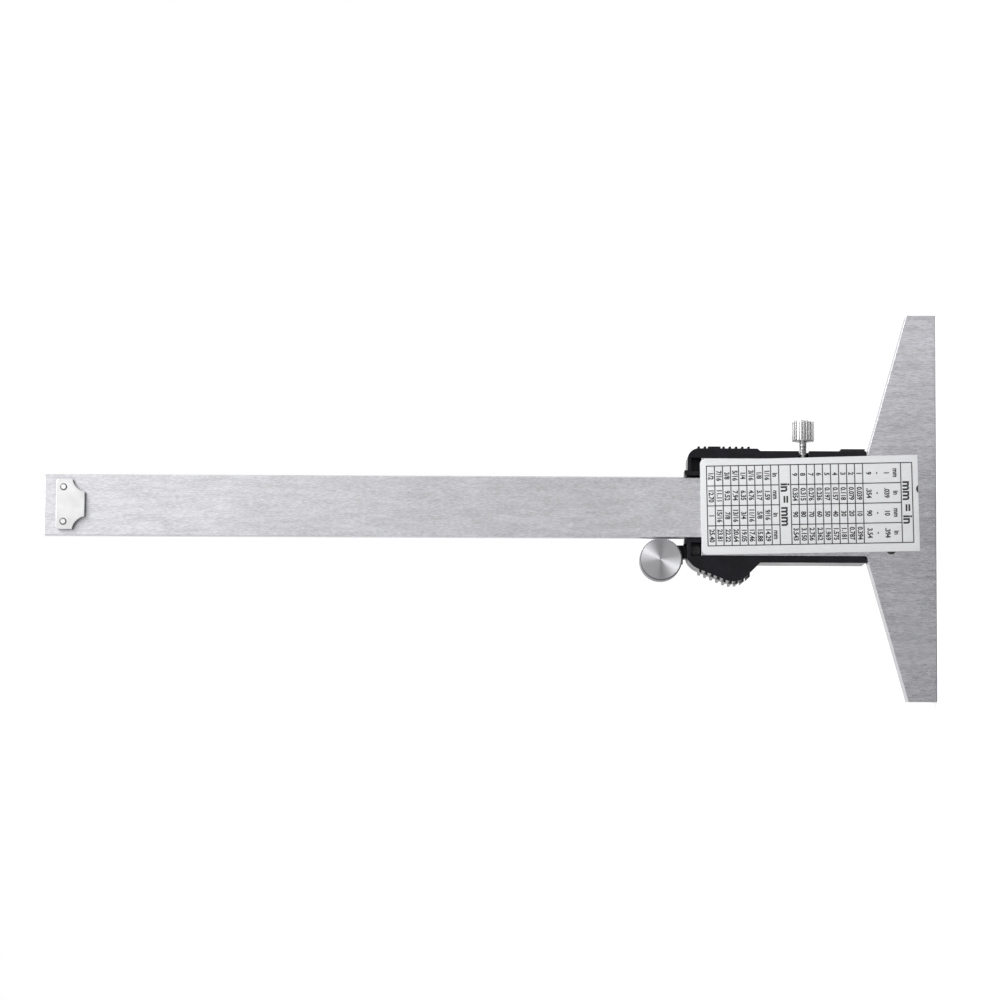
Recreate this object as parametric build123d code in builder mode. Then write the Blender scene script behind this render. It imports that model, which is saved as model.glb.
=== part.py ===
from build123d import *
import math
import os

# Electronic depth gauge, 150 mm: a steel measuring base with an upright rod, a display
# unit on the base, a thumb wheel that rolls the base along the rod and a lock screw.
#
# Frame: +Z runs up the rod from the measuring face, +Y points to the labelled back and
# -Y to the display. The origin is the middle of the rod's end face, which lies flush
# with the measuring face at the zero position. Sizes are in millimetres.

# ---------------------------------------------------------------- driving dimensions

# Rod with its scale
rod_width = 16.0
rod_thickness = 3.5
rod_length = 231.0
rod_chamfer = 0.3
scale_inset = 2.1
scale_thickness = 0.6
overlay_thickness = 0.2
scale_margin = 6.0
scale_side_gap = 0.1

# Measuring base and slider frame, one piece of steel
base_width = 100.0
tip_height = 7.4
hub_height = 17.7
hub_side_step = 0.9
back_wall = 2.5
front_lip = 1.0
lip_reach = 1.7
rail_width = 4.6
rail_front_step = 0.25
slide_gap = 0.05
base_chamfer = 0.25
hub_inside_round = 0.8

# Gib strip that takes up the play, and its two grub screws
gib_thickness = 1.0
gib_rise = 1.3
gib_end_gap = 1.0
gib_edge_gap = 0.05
grub_radius = 1.0
grub_below_lock = 11.3
grub_above_lock = 12.7
grub_slot_width = 0.4
grub_slot_depth = 0.6
thread_gap = 0.02

# Stop plate at the rod's tail
stop_end_gap = 3.2
stop_height = 7.4
stop_side_gap = 1.5
stop_neck_width = 6.4
stop_shoulder = 3.2
stop_thickness = 2.0
stop_scoop_radius = 4.0
stop_corner = 0.8
rivet_radius = 0.65
rivet_head_radius = 0.85
rivet_head_height = 0.2
rivet_head_round = 0.12
rivet_inset = 2.0
rivet_drop = 1.9
rivet_depth = 2.2

# Printed label on the back
label_foot = 4.5
label_overhang = 0.2
label_side_gap = 0.1
label_thickness = 0.3
label_centre_x = -0.6
label_tilt = 1.3
label_corner = 1.5

# Black housing and light front bezel, which share one outline
shell_side_wall = 1.75
lock_side_wall = 2.0
shell_bottom_gap = 0.2
shell_corner = 2.9
shell_end_round = 0.3
shell_inside_round = 1.2
housing_back_step = 0.4
neck_bottom = 5.0
neck_wall = 1.6
neck_corner = 2.0
seat_gap = 0.05
bezel_depth = 2.7
bezel_plate = 1.4
bezel_wall = 1.9
bezel_round = 0.7
bezel_rib = 1.6

# Finger ribs on the lock screw's side
rib_pad_height = 0.6
rib_pad_length = 18.1
rib_pad_ramp = 0.7
rib_margin = 2.3
rib_count = 9
rib_bar_from = 5
rib_bar_to = 6
rib_width = 0.6
rib_height = 0.5

# Thumb rest with teeth on the wheel's side
rest_length = 18.8
rest_low_shoulder_reach = 3.85
rest_low_shoulder_drop = 14.9
rest_crown_reach = 4.9
rest_crown_drop = 12.2
rest_high_shoulder_reach = 4.55
rest_high_shoulder_drop = 9.9
rest_slope_end_reach = 1.85
rest_slope_end_drop = 3.2
rest_nose_reach = 0.85
rest_nose_drop = 1.4
rest_end_inset = 0.95
tooth_first_drop = 15.8
tooth_pitch = 1.56
tooth_count = 9
tooth_width = 0.6
tooth_height = 0.7
tooth_root = 6.0

# Housing's tail end: rod opening, lips and the two dark wells
rod_opening_gap = 0.3
lip_height = 0.8
lip_width = 1.2
well_width = 3.6
well_depth = 4.9
well_wall = 0.9
well_head_gap = 0.075
well_floor_thickness = 2.0

# Screws that hold frame, housing and bezel together
case_screw_inset = 1.8
case_screw_rise = 6.6
case_screw_drop = 4.5
case_screw_radius = 0.85
case_screw_head_radius = 1.3
case_screw_head_height = 0.9
case_screw_end_gap = 0.4
screw_boss_radius = 1.75
screw_hole_gap = 0.05
slot_width = 0.4
slot_depth = 0.4

# Lock screw with its brass pad
lock_rise = 16.3
lock_thread_radius = 1.0
lock_head_radius = 3.0
lock_head_length = 5.5
lock_head_clear = 4.75
lock_head_chamfer = 0.5
lock_flute_count = 24
lock_flute_radius = 0.25
lock_pad_length = 1.2
lock_pad_gap = 0.25
lock_notch_width = 2.6
lock_notch_depth = 5.5
running_gap = 0.05

# Circuit board, display and buttons
board_thickness = 1.0
board_rise = 1.5
board_side_gap = 0.4
board_top_gap = 0.1
board_screw_head_radius = 1.3
board_screw_head_height = 0.6
board_screw_radius = 0.8
board_screw_depth = 1.8
board_screw_inset = 2.0
board_side_screw_inset = 1.8
board_side_screw_drop = 4.4
display_side_gap = 1.3
display_rise = 0.6
glass_side_inset = 0.3
glass_end_inset = 0.4
glass_thickness = 1.8
connector_height = 3.2
connector_width = 1.0
connector_inset = 0.5
connector_end_inset = 1.0
carrier_wall = 0.7
carrier_gap = 0.1
window_thickness = 0.8
window_width = 13.6
window_length = 27.4
window_corner = 1.2
window_gap = 0.08
view_side_inset = 1.5
view_end_inset = 1.9
view_corner = 0.8
button_side_inset = 4.7
button_end_inset = 3.2
button_radius = 2.5
button_flange_radius = 3.0
button_flange_height = 0.6
button_proud = 0.6
button_stem_radius = 1.2
button_hole_gap = 0.1
button_travel = 0.5
button_play = 0.05
button_round = 0.3
dome_radius = 2.3
dome_height = 0.8
chip_size = 6.0
chip_height = 1.3
chip_round = 0.6

# Coin cell, its contacts and the sliding cover
cell_radius = 5.8
cell_height = 5.4
cell_step_radius = 4.9
cell_step_height = 0.7
cell_round = 0.2
cell_window_gap = 2.4
cell_overhang = 0.7
cell_cover_gap = 0.15
cell_pocket_gap = 0.25
contact_thickness = 0.2
contact_rise = 0.6
contact_width = 4.0
contact_length = 8.0
contact_nub_radius = 1.3
cover_width = 15.0
cover_margin = 0.2
cover_tongue = 0.8
cover_tongue_thickness = 0.55
cover_thickness = 1.5
cover_gap = 0.06
cover_rib_count = 4
cover_rib_pitch = 1.3
cover_rib_width = 0.5
cover_rib_length = 8.0
cover_rib_height = 0.2

# Data port on the lock screw's side, with its sliding cover
port_rise = 0.4
port_length = 6.0
port_width = 7.4
port_y = -3.2
port_neck_width = 6.0
port_tongue = 0.4
port_slot_depth = 0.85
port_tongue_thickness = 0.4
port_cap = 0.95
port_cap_overhang = 0.35
port_cap_round = 0.25
port_gap = 0.06
port_travel = 6.0
socket_depth = 0.7
socket_width = 4.4
socket_rim = 0.6
socket_pad_height = 0.35
socket_pad_count = 4
socket_pad_pitch = 1.2
socket_pad_width = 0.6

# Thumb wheel, its axle and bracket
wheel_radius = 5.5
wheel_shell_gap = 1.3
wheel_back_step = 1.1
wheel_rod_gap = 0.05
wheel_chamfer = 0.3
wheel_groove_count = 60
wheel_groove_radius = 0.18
axle_radius = 1.25
axle_in_wheel = 6.0
press_gap = 0.01
axle_gap = 0.04
bracket_side_gap = 0.2
bracket_thickness = 2.2
bracket_eye_wall = 3.0
bracket_root_width = 3.7
bracket_arm_width = 4.9
axle_head_radius = 2.2
axle_head_height = 0.6
bracket_screw_radius = 0.8
bracket_screw_head_radius = 1.25
bracket_screw_head_height = 0.7
bracket_screw_length = 5.0

# ------------------------------------------------------------------- derived places

rod_back = rod_thickness / 2
rod_front = -rod_back
rod_edge = rod_width / 2
channel_back = rod_back + slide_gap
channel_front = rod_front - slide_gap
channel_edge = rod_edge + slide_gap
frame_back = channel_back + back_wall
base_front = channel_front - front_lip
rail_front = channel_front - rail_front_step
frame_width = rod_width + 2 * rail_width
frame_edge = frame_width / 2
hub_edge = frame_edge + hub_side_step
shell_bottom = hub_height + shell_bottom_gap
board_bottom = hub_height + board_rise
display_z = board_bottom + display_rise + window_length / 2
display_x = window_width / 2 - frame_edge + display_side_gap
glass_width = window_width - 2 * glass_side_inset
glass_length = window_length - 2 * glass_end_inset
view_width = window_width - 2 * view_side_inset
view_length = window_length - 2 * view_end_inset
button_x = frame_edge - button_side_inset
button_pitch = window_length / 2 - button_end_inset
button_heights = (display_z - button_pitch, display_z, display_z + button_pitch)
cell_z = display_z + window_length / 2 + cell_window_gap + cell_radius
frame_top = cell_z + cell_radius - cell_overhang
frame_seat_top = frame_top + seat_gap
well_top = frame_seat_top + 2 * (bracket_screw_head_radius + well_head_gap)
shell_top = well_top + well_wall
cover_bottom = cell_z - cell_radius - cover_margin
lock_height = hub_height + lock_rise
grub_heights = (lock_height - grub_below_lock, lock_height + grub_above_lock)
gib_bottom = hub_height + gib_rise
gib_length = frame_top - gib_end_gap - gib_bottom
port_bottom = shell_bottom + port_rise
stop_top = rod_length - stop_end_gap
stop_bottom = stop_top - stop_height
stop_width = rod_width - 2 * stop_side_gap
rivet_x = stop_width / 2 - rivet_inset
gib_inner = rod_edge + slide_gap
gib_outer = gib_inner + gib_thickness
housing_back = frame_back - housing_back_step
shell_edge_x = frame_edge + shell_side_wall
lock_edge_x = frame_edge + lock_side_wall
shell_inner = frame_edge + seat_gap
board_back = rail_front
board_front = board_back - board_thickness
board_top = frame_top - board_top_gap
board_width = 2 * (frame_edge - board_side_gap)
glass_back = board_front - connector_height
cell_back = board_front - contact_thickness - contact_rise
cover_back = cell_back - cell_height - cell_cover_gap
bezel_front = cover_back - cover_thickness
housing_front = bezel_front + bezel_depth
housing_depth = housing_back - housing_front
plate_back = bezel_front + bezel_plate
wheel_x = rod_edge + wheel_rod_gap + wheel_radius
wheel_height = shell_top + wheel_shell_gap + wheel_radius
wheel_back = frame_back - wheel_back_step
bracket_front = housing_front
bracket_back = bracket_front + bracket_thickness
wheel_front = bracket_back + bracket_side_gap
wheel_length = wheel_back - wheel_front
well_floor = housing_back - well_depth
bracket_root_back = well_floor - well_floor_thickness
bracket_eye_radius = axle_radius + bracket_eye_wall
bracket_inner_x = wheel_x - bracket_eye_radius
bracket_outer_x = bracket_inner_x + bracket_root_width
bracket_arm_x = bracket_inner_x + bracket_arm_width
case_screw_x = frame_edge - case_screw_inset
case_screw_low = neck_bottom + case_screw_rise
case_screw_high = frame_top - case_screw_drop
board_screw_places = [
    (frame_edge - board_screw_inset, display_z - button_pitch / 2),
    (frame_edge - board_screw_inset, display_z + button_pitch / 2),
    (board_side_screw_inset - frame_edge, cell_z - board_side_screw_drop),
]
case_screw_places = [
    (side * case_screw_x, height)
    for height in (case_screw_low, case_screw_high)
    for side in (1, -1)
]


def across(y):
    """Plane across the gauge at y: its own x is X, its own y is Z, and it faces -Y."""
    return Plane.XZ.offset(-y)


def sideways(x):
    """Plane along the gauge at x: its own x is Y, its own y is Z, and it faces +X."""
    return Plane.YZ.offset(x)


def corners_at(builder, x, z):
    """Edges along Y at height z, at x on either side of the middle."""
    along_y = builder.edges().filter_by(Axis.Y)
    at_height = along_y.filter_by_position(Axis.Z, z - seat_gap, z + seat_gap)
    left = at_height.filter_by_position(Axis.X, -x - seat_gap, -x + seat_gap)
    right = at_height.filter_by_position(Axis.X, x - seat_gap, x + seat_gap)
    return left + right


def finish(builder, name):
    """Labels a finished piece and writes it."""
    builder.part.label = name
    export_step(builder.part, f"parts/{name}.step")


os.makedirs("parts", exist_ok=True)

# ------------------------------------------------------------------- rod and its scale

scale_width = rod_width - 2 * scale_inset
pocket_depth = scale_thickness + overlay_thickness
pocket_length = stop_bottom - 2 * scale_margin
pocket_middle = scale_margin + pocket_length / 2
rivet_z = stop_top - rivet_drop
rivet_places = [(side * rivet_x, rivet_z) for side in (1, -1)]

with BuildPart() as beam:
    with BuildSketch(Plane.XY):
        Rectangle(rod_width, rod_thickness)
    extrude(amount=rod_length)
    chamfer(beam.edges().filter_by(Axis.Z), rod_chamfer)
    with BuildSketch(across(rod_front)):
        with Locations((0, pocket_middle)):
            Rectangle(scale_width + 2 * scale_side_gap, pocket_length)
    extrude(amount=-pocket_depth, mode=Mode.SUBTRACT)
    with BuildSketch(across(rod_back)):
        with Locations(*rivet_places):
            Circle(rivet_radius + thread_gap)
    extrude(amount=rivet_depth, mode=Mode.SUBTRACT)
finish(beam, "beam")

with BuildPart() as scale_strip:
    with BuildSketch(across(rod_front + pocket_depth)):
        with Locations((0, pocket_middle)):
            Rectangle(scale_width, pocket_length - 2 * scale_side_gap)
    extrude(amount=scale_thickness)
finish(scale_strip, "scale_strip")

with BuildPart() as scale_overlay:
    with BuildSketch(across(rod_front + overlay_thickness)):
        with Locations((0, pocket_middle)):
            Rectangle(scale_width, pocket_length - 2 * scale_side_gap)
    extrude(amount=overlay_thickness)
finish(scale_overlay, "scale_overlay")

# ---------------------------------------------------------------------- stop plate

stop_edge = stop_width / 2
stop_neck = stop_neck_width / 2
shoulder_z = stop_bottom + stop_shoulder

with BuildPart() as stop_plate:
    with BuildSketch(across(rod_back + stop_thickness)):
        with BuildLine():
            Polyline(
                (-stop_edge, shoulder_z),
                (-stop_edge, stop_top),
                (stop_edge, stop_top),
                (stop_edge, shoulder_z),
            )
            RadiusArc((stop_edge, shoulder_z), (stop_neck, stop_bottom), -stop_scoop_radius)
            Line((stop_neck, stop_bottom), (-stop_neck, stop_bottom))
            RadiusArc((-stop_neck, stop_bottom), (-stop_edge, shoulder_z), -stop_scoop_radius)
        make_face()
        with Locations(*rivet_places):
            Circle(rivet_radius + thread_gap, mode=Mode.SUBTRACT)
    extrude(amount=stop_thickness)
    fillet(stop_plate.edges().filter_by(Axis.Y).group_by(Axis.Z)[-1], stop_corner)
finish(stop_plate, "stop_plate")

with BuildPart() as stop_plate_rivets:
    with BuildSketch(across(rod_back + stop_thickness)):
        with Locations(*rivet_places):
            Circle(rivet_radius)
    extrude(amount=stop_thickness + rivet_depth - press_gap)
    with BuildSketch(across(rod_back + stop_thickness)):
        with Locations(*rivet_places):
            Circle(rivet_head_radius)
    extrude(amount=-rivet_head_height)
    fillet(stop_plate_rivets.faces().group_by(Axis.Y)[-1].edges(), rivet_head_round)
finish(stop_plate_rivets, "stop_plate_rivets")

# ------------------------------------------------- measuring base with slider frame

base_edge = base_width / 2
gib_middle_z = gib_bottom + gib_length / 2
gib_pocket_bottom = gib_bottom - seat_gap

with BuildPart() as measuring_base:
    with BuildSketch(across(frame_back)):
        with BuildLine():
            Polyline(
                (-base_edge, 0),
                (base_edge, 0),
                (base_edge, tip_height),
                (hub_edge, hub_height),
                (-hub_edge, hub_height),
                (-base_edge, tip_height),
                close=True,
            )
        make_face()
    extrude(amount=frame_back - base_front)
    chamfer(measuring_base.edges().group_by(Axis.Z)[0].filter_by(Axis.X), base_chamfer)
    with BuildSketch(across(frame_back)):
        with Locations((0, (hub_height + frame_top) / 2)):
            Rectangle(frame_width, frame_top - hub_height)
    extrude(amount=frame_back - rail_front)
    fillet(corners_at(measuring_base, frame_edge, hub_height), hub_inside_round)
    # channel for the rod, right through
    with BuildSketch(Plane.XY):
        with Locations((0, (channel_back + channel_front) / 2)):
            Rectangle(2 * channel_edge, channel_back - channel_front)
    extrude(amount=frame_top, mode=Mode.SUBTRACT)
    # the channel's mouth on the display side, under the lips and between the rails
    with BuildSketch(across(channel_front)):
        with Locations((0, hub_height / 2)):
            Rectangle(2 * (channel_edge - lip_reach), hub_height)
    extrude(amount=front_lip, mode=Mode.SUBTRACT)
    with BuildSketch(across(channel_front)):
        with Locations((0, (hub_height + frame_top) / 2)):
            Rectangle(2 * channel_edge, frame_top - hub_height)
    extrude(amount=front_lip, mode=Mode.SUBTRACT)
    # seat of the gib strip beside the rod
    with BuildSketch(across(channel_back)):
        with Locations((-(channel_edge + gib_outer) / 2, (gib_pocket_bottom + frame_top) / 2)):
            Rectangle(gib_outer - channel_edge + seat_gap, frame_top - gib_pocket_bottom)
    extrude(amount=channel_back - rail_front, mode=Mode.SUBTRACT)
    # cross holes: the lock screw's thread and the two grub screws
    with BuildSketch(sideways(-frame_edge)):
        with Locations((0, lock_height)):
            Circle(lock_thread_radius + running_gap)
        with Locations(*[(0, height) for height in grub_heights]):
            Circle(grub_radius + thread_gap)
    extrude(amount=frame_edge - gib_inner, mode=Mode.SUBTRACT)
    # case screws with sunk heads, and board screws
    with BuildSketch(across(frame_back)):
        with Locations(*case_screw_places):
            Circle(case_screw_radius + screw_hole_gap)
    extrude(amount=frame_back - base_front, mode=Mode.SUBTRACT)
    with BuildSketch(across(frame_back)):
        with Locations(*case_screw_places):
            Circle(case_screw_head_radius + screw_hole_gap)
    extrude(amount=case_screw_head_height + screw_hole_gap, mode=Mode.SUBTRACT)
    with BuildSketch(across(rail_front)):
        with Locations(*board_screw_places):
            Circle(board_screw_radius + thread_gap)
    extrude(amount=-board_screw_depth, mode=Mode.SUBTRACT)
finish(measuring_base, "measuring_base")

with BuildPart() as gib_strip:
    with BuildSketch(sideways(-gib_outer)):
        with Locations((0, gib_middle_z)):
            Rectangle(rod_thickness - 2 * gib_edge_gap, gib_length)
    extrude(amount=gib_outer - gib_inner)
finish(gib_strip, "gib_strip")

with BuildPart() as gib_screws:
    with BuildSketch(sideways(-frame_edge + seat_gap)):
        with Locations(*[(0, height) for height in grub_heights]):
            Circle(grub_radius)
    extrude(amount=frame_edge - seat_gap - gib_outer - seat_gap)
    with BuildSketch(sideways(-frame_edge + seat_gap)):
        with Locations(*[(0, height) for height in grub_heights]):
            Rectangle(2 * grub_radius, grub_slot_width)
    extrude(amount=grub_slot_depth, mode=Mode.SUBTRACT)
finish(gib_screws, "gib_screws")

# ------------------------------------------------------------------------ back label

label_length = frame_top + label_overhang - label_foot
label_width = frame_width - 2 * label_side_gap
label_centre_z = label_foot + label_length / 2

with BuildPart() as back_label:
    with BuildSketch(across(frame_back + label_thickness)):
        with Locations((label_centre_x, label_centre_z)):
            Rectangle(label_width, label_length, rotation=-label_tilt)
    extrude(amount=label_thickness)
    fillet(back_label.edges().filter_by(Axis.Y).group_by(Axis.Z)[-2:], label_corner)
finish(back_label, "back_label")

# ------------------------------------------- outline shared by housing and bezel

pad_x = -(lock_edge_x + rib_pad_height)
rib_pad_bottom = shell_top - rib_pad_length
rib_first = rib_pad_bottom + rib_margin
rib_pitch = (shell_top - shell_corner - rib_first) / (rib_count - 1)
rib_heights = [
    rib_first + rib_pitch * step
    for step in range(rib_count)
    if not rib_bar_from <= step <= rib_bar_to
]
bar_middle = rib_first + rib_pitch * (rib_bar_from + rib_bar_to) / 2
bar_length = rib_pitch * (rib_bar_to - rib_bar_from + 1)

rest_bottom = shell_top - rest_length
rest_low_shoulder = (shell_edge_x + rest_low_shoulder_reach, shell_top - rest_low_shoulder_drop)
rest_crown = (shell_edge_x + rest_crown_reach, shell_top - rest_crown_drop)
rest_high_shoulder = (shell_edge_x + rest_high_shoulder_reach, shell_top - rest_high_shoulder_drop)
rest_slope_end = (shell_edge_x + rest_slope_end_reach, shell_top - rest_slope_end_drop)
rest_nose = (shell_edge_x + rest_nose_reach, shell_top - rest_nose_drop)
rest_end_x = shell_edge_x - rest_end_inset
tooth_first = shell_top - tooth_first_drop
tooth_heights = [tooth_first + tooth_pitch * step for step in range(tooth_count)]

neck_width = frame_width
neck_height = shell_bottom + shell_end_round - neck_bottom


def shell_edge():
    """Closed outline of the display unit over the slider frame, in X and Z."""
    Line((shell_edge_x, shell_bottom), (shell_edge_x, rest_bottom))
    Line((shell_edge_x, rest_bottom), rest_low_shoulder)
    ThreePointArc(rest_low_shoulder, rest_crown, rest_high_shoulder)
    Line(rest_high_shoulder, rest_slope_end)
    ThreePointArc(rest_slope_end, rest_nose, (rest_end_x, shell_top))
    Line((rest_end_x, shell_top), (pad_x + shell_corner, shell_top))
    JernArc((pad_x + shell_corner, shell_top), (-1, 0), shell_corner, 90)
    Line((pad_x, shell_top - shell_corner), (pad_x, rib_pad_bottom))
    Line((pad_x, rib_pad_bottom), (-lock_edge_x, rib_pad_bottom - rib_pad_ramp))
    Line((-lock_edge_x, rib_pad_bottom - rib_pad_ramp), (-lock_edge_x, shell_bottom))
    Line((-lock_edge_x, shell_bottom), (shell_edge_x, shell_bottom))


def neck_face(corner):
    """Foot of the display unit that reaches down over the measuring base."""
    with Locations((0, neck_bottom + neck_height / 2)):
        RectangleRounded(neck_width, neck_height, corner)


with BuildSketch(Plane.XY) as tooth_comb:
    with Locations(*[(rest_crown[0], height) for height in tooth_heights]):
        Rectangle(2 * tooth_root, tooth_width)

with BuildSketch(Plane.XY) as rest_teeth:
    with BuildLine():
        shell_edge()
    make_face()
    offset(amount=tooth_height)
    add(tooth_comb.sketch, mode=Mode.INTERSECT)

with BuildSketch(Plane.XY) as finger_ribs:
    with Locations(*[(pad_x, height) for height in rib_heights]):
        Rectangle(2 * rib_height, rib_width)
    with Locations((pad_x, bar_middle)):
        Rectangle(2 * rib_height, bar_length)

# -------------------------------------------------------------------------- housing

cavity_bottom = board_bottom - seat_gap
opening_edge = rod_edge + rod_opening_gap
opening_front = rod_front - rod_opening_gap
end_block_height = shell_top - frame_seat_top
well_inner = opening_edge + well_wall
well_x = well_inner + well_width / 2
well_z = (frame_seat_top + well_top) / 2
bracket_root_x = (bracket_inner_x + bracket_outer_x) / 2
bracket_screw_x = well_x
port_z = port_bottom + port_length / 2
port_slot_z = port_bottom + (port_length + port_travel) / 2
port_slot_length = port_length + port_travel + 2 * port_gap
port_floor_x = lock_edge_x - port_slot_depth
port_tongue_width = port_neck_width + 2 * port_tongue
cell_pocket_radius = cell_radius + cell_pocket_gap
lock_notch_radius = lock_notch_width / 2
lock_notch_floor = housing_back - lock_notch_depth + lock_notch_radius

with BuildPart() as housing:
    with BuildSketch(across(housing_back)) as housing_face:
        with BuildLine():
            shell_edge()
        make_face()
        fillet(housing_face.vertices().group_by(Axis.Y)[0], shell_end_round)
        add(rest_teeth.sketch)
        add(finger_ribs.sketch)
    extrude(amount=housing_depth)
    with BuildSketch(across(base_front)):
        neck_face(neck_corner)
    extrude(amount=base_front - housing_front)
    # lips that hug the rod at the tail end
    with BuildSketch(Plane.XY.offset(frame_seat_top)):
        for side in (1, -1):
            with Locations((side * (opening_edge + lip_width / 2), (housing_back + opening_front) / 2)):
                Rectangle(lip_width, housing_back - opening_front)
    extrude(amount=shell_top - frame_seat_top + lip_height)
    # seat of the slider frame, open to the back
    with BuildSketch(across(housing_back)):
        with Locations((0, (shell_bottom + frame_seat_top) / 2)):
            Rectangle(2 * shell_inner, frame_seat_top - shell_bottom)
    extrude(amount=housing_back - rail_front, mode=Mode.SUBTRACT)
    fillet(corners_at(housing, shell_inner, shell_bottom), shell_inside_round)
    # room for the board and the display, open to the bezel
    with BuildSketch(across(rail_front)):
        with Locations((0, (cavity_bottom + frame_seat_top) / 2)):
            Rectangle(2 * shell_inner, frame_seat_top - cavity_bottom)
    extrude(amount=rail_front - housing_front, mode=Mode.SUBTRACT)
    with BuildSketch(across(board_front)):
        with Locations((0, cell_z)):
            Circle(cell_pocket_radius)
    extrude(amount=board_front - housing_front, mode=Mode.SUBTRACT)
    # hollow of the neck
    with BuildSketch(across(base_front)):
        with Locations((0, (neck_bottom + neck_wall + hub_height - neck_wall) / 2)):
            Rectangle(neck_width - 2 * neck_wall, hub_height - neck_bottom - 2 * neck_wall)
    extrude(amount=base_front - housing_front, mode=Mode.SUBTRACT)
    # rod opening and the two wells in the tail end
    with BuildSketch(across(housing_back)):
        with Locations((0, frame_seat_top + end_block_height)):
            Rectangle(2 * opening_edge, 2 * end_block_height)
    extrude(amount=housing_back - opening_front, mode=Mode.SUBTRACT)
    with BuildSketch(across(housing_back)):
        with Locations((well_x, well_z), (-well_x, well_z)):
            Rectangle(well_width, well_top - frame_seat_top)
    extrude(amount=well_depth, mode=Mode.SUBTRACT)
    # screw bosses, with their holes
    with BuildSketch(across(rail_front)):
        for side in (1, -1):
            with Locations((side * (case_screw_x + screw_boss_radius), case_screw_high)):
                Rectangle(2 * screw_boss_radius, 2 * screw_boss_radius)
            with Locations((side * case_screw_x, case_screw_high)):
                Circle(screw_boss_radius)
    extrude(amount=rail_front - housing_front)
    with BuildSketch(across(base_front)):
        with Locations((case_screw_x, case_screw_low), (-case_screw_x, case_screw_low)):
            Circle(screw_boss_radius)
    extrude(amount=base_front - housing_front)
    with BuildSketch(across(rail_front)):
        with Locations(*case_screw_places):
            Circle(case_screw_radius + screw_hole_gap)
    extrude(amount=rail_front - housing_front, mode=Mode.SUBTRACT)
    # pocket of the wheel bracket and the hole of its screw
    with BuildSketch(across(bracket_root_back)):
        with Locations((bracket_root_x, frame_seat_top + end_block_height)):
            Rectangle(bracket_root_width + 2 * seat_gap, 2 * end_block_height)
    extrude(amount=bracket_root_back - housing_front, mode=Mode.SUBTRACT)
    with BuildSketch(across(well_floor)):
        with Locations((bracket_screw_x, well_z)):
            Circle(bracket_screw_radius + screw_hole_gap)
    extrude(amount=well_floor - bracket_root_back, mode=Mode.SUBTRACT)
    # notch for the lock screw, round at its bottom
    with BuildSketch(sideways(-lock_edge_x)):
        with Locations((lock_notch_floor, lock_height)):
            Circle(lock_notch_radius)
        with Locations(((housing_back + lock_notch_floor) / 2, lock_height)):
            Rectangle(housing_back - lock_notch_floor, lock_notch_width)
    extrude(amount=lock_edge_x - shell_inner, mode=Mode.SUBTRACT)
    # grooved slot of the data port cover, and the recess of its contacts
    with BuildSketch(sideways(-lock_edge_x)):
        with Locations((port_y, port_slot_z)):
            Rectangle(port_neck_width + 2 * port_gap, port_slot_length)
    extrude(amount=port_slot_depth, mode=Mode.SUBTRACT)
    with BuildSketch(sideways(-port_floor_x)):
        with Locations((port_y, port_slot_z)):
            Rectangle(port_tongue_width + 2 * port_gap, port_slot_length)
    extrude(amount=-port_tongue_thickness, mode=Mode.SUBTRACT)
    with BuildSketch(sideways(-port_floor_x)):
        with Locations((port_y, port_z)):
            Rectangle(socket_width + 2 * socket_rim, port_length - 2 * socket_rim)
    extrude(amount=socket_depth, mode=Mode.SUBTRACT)
finish(housing, "housing")

# --------------------------------------------------------------------------- bezel

cover_slot_back = cover_back + cover_gap
cover_length = shell_top - cover_bottom
cover_z = cover_bottom + cover_length / 2
bezel_cavity_top = cover_bottom - bezel_rib

with BuildPart() as front_bezel:
    with BuildSketch(across(housing_front)) as bezel_face:
        with BuildLine():
            shell_edge()
        make_face()
        neck_face(neck_corner)
    extrude(amount=bezel_depth)
    fillet(front_bezel.faces().sort_by(Axis.Y)[0].outer_wire().edges(), bezel_round)
    with BuildSketch(across(housing_front)):
        add(rest_teeth.sketch)
        add(finger_ribs.sketch)
    extrude(amount=bezel_plate)
    # hollow behind the display and the buttons
    with BuildSketch(across(housing_front)):
        with Locations((0, (cavity_bottom + bezel_cavity_top) / 2)):
            Rectangle(2 * (shell_edge_x - bezel_wall), bezel_cavity_top - cavity_bottom)
    extrude(amount=housing_front - plate_back, mode=Mode.SUBTRACT)
    # window opening with its recess, and the button holes
    with BuildSketch(across(bezel_front)):
        with Locations((display_x, display_z)):
            RectangleRounded(view_width, view_length, view_corner)
        with Locations(*[(button_x, height) for height in button_heights]):
            Circle(button_radius + button_hole_gap)
    extrude(amount=-bezel_plate, mode=Mode.SUBTRACT)
    with BuildSketch(across(bezel_front)):
        with Locations((display_x, display_z)):
            RectangleRounded(
                window_width + 2 * window_gap, window_length + 2 * window_gap, window_corner
            )
    extrude(amount=-window_thickness, mode=Mode.SUBTRACT)
    # cell pocket, and the grooved slot of the battery cover, open at the tail
    with BuildSketch(across(housing_front)):
        with Locations((0, cell_z)):
            Circle(cell_pocket_radius)
    extrude(amount=housing_front - cover_slot_back, mode=Mode.SUBTRACT)
    with BuildSketch(across(cover_slot_back)):
        with Locations((0, cover_z)):
            Rectangle(cover_width + 2 * cover_gap, cover_length + 2 * cover_gap)
    extrude(amount=cover_slot_back - bezel_front, mode=Mode.SUBTRACT)
    with BuildSketch(across(cover_slot_back)):
        with Locations((0, cover_z)):
            Rectangle(cover_width + 2 * (cover_tongue + cover_gap), cover_length + 2 * cover_gap)
    extrude(amount=cover_tongue_thickness + 2 * cover_gap, mode=Mode.SUBTRACT)
    # blind holes for the case screws
    with BuildSketch(across(housing_front)):
        with Locations(*case_screw_places):
            Circle(case_screw_radius + screw_hole_gap)
    extrude(amount=housing_front - plate_back, mode=Mode.SUBTRACT)
finish(front_bezel, "front_bezel")

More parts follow.
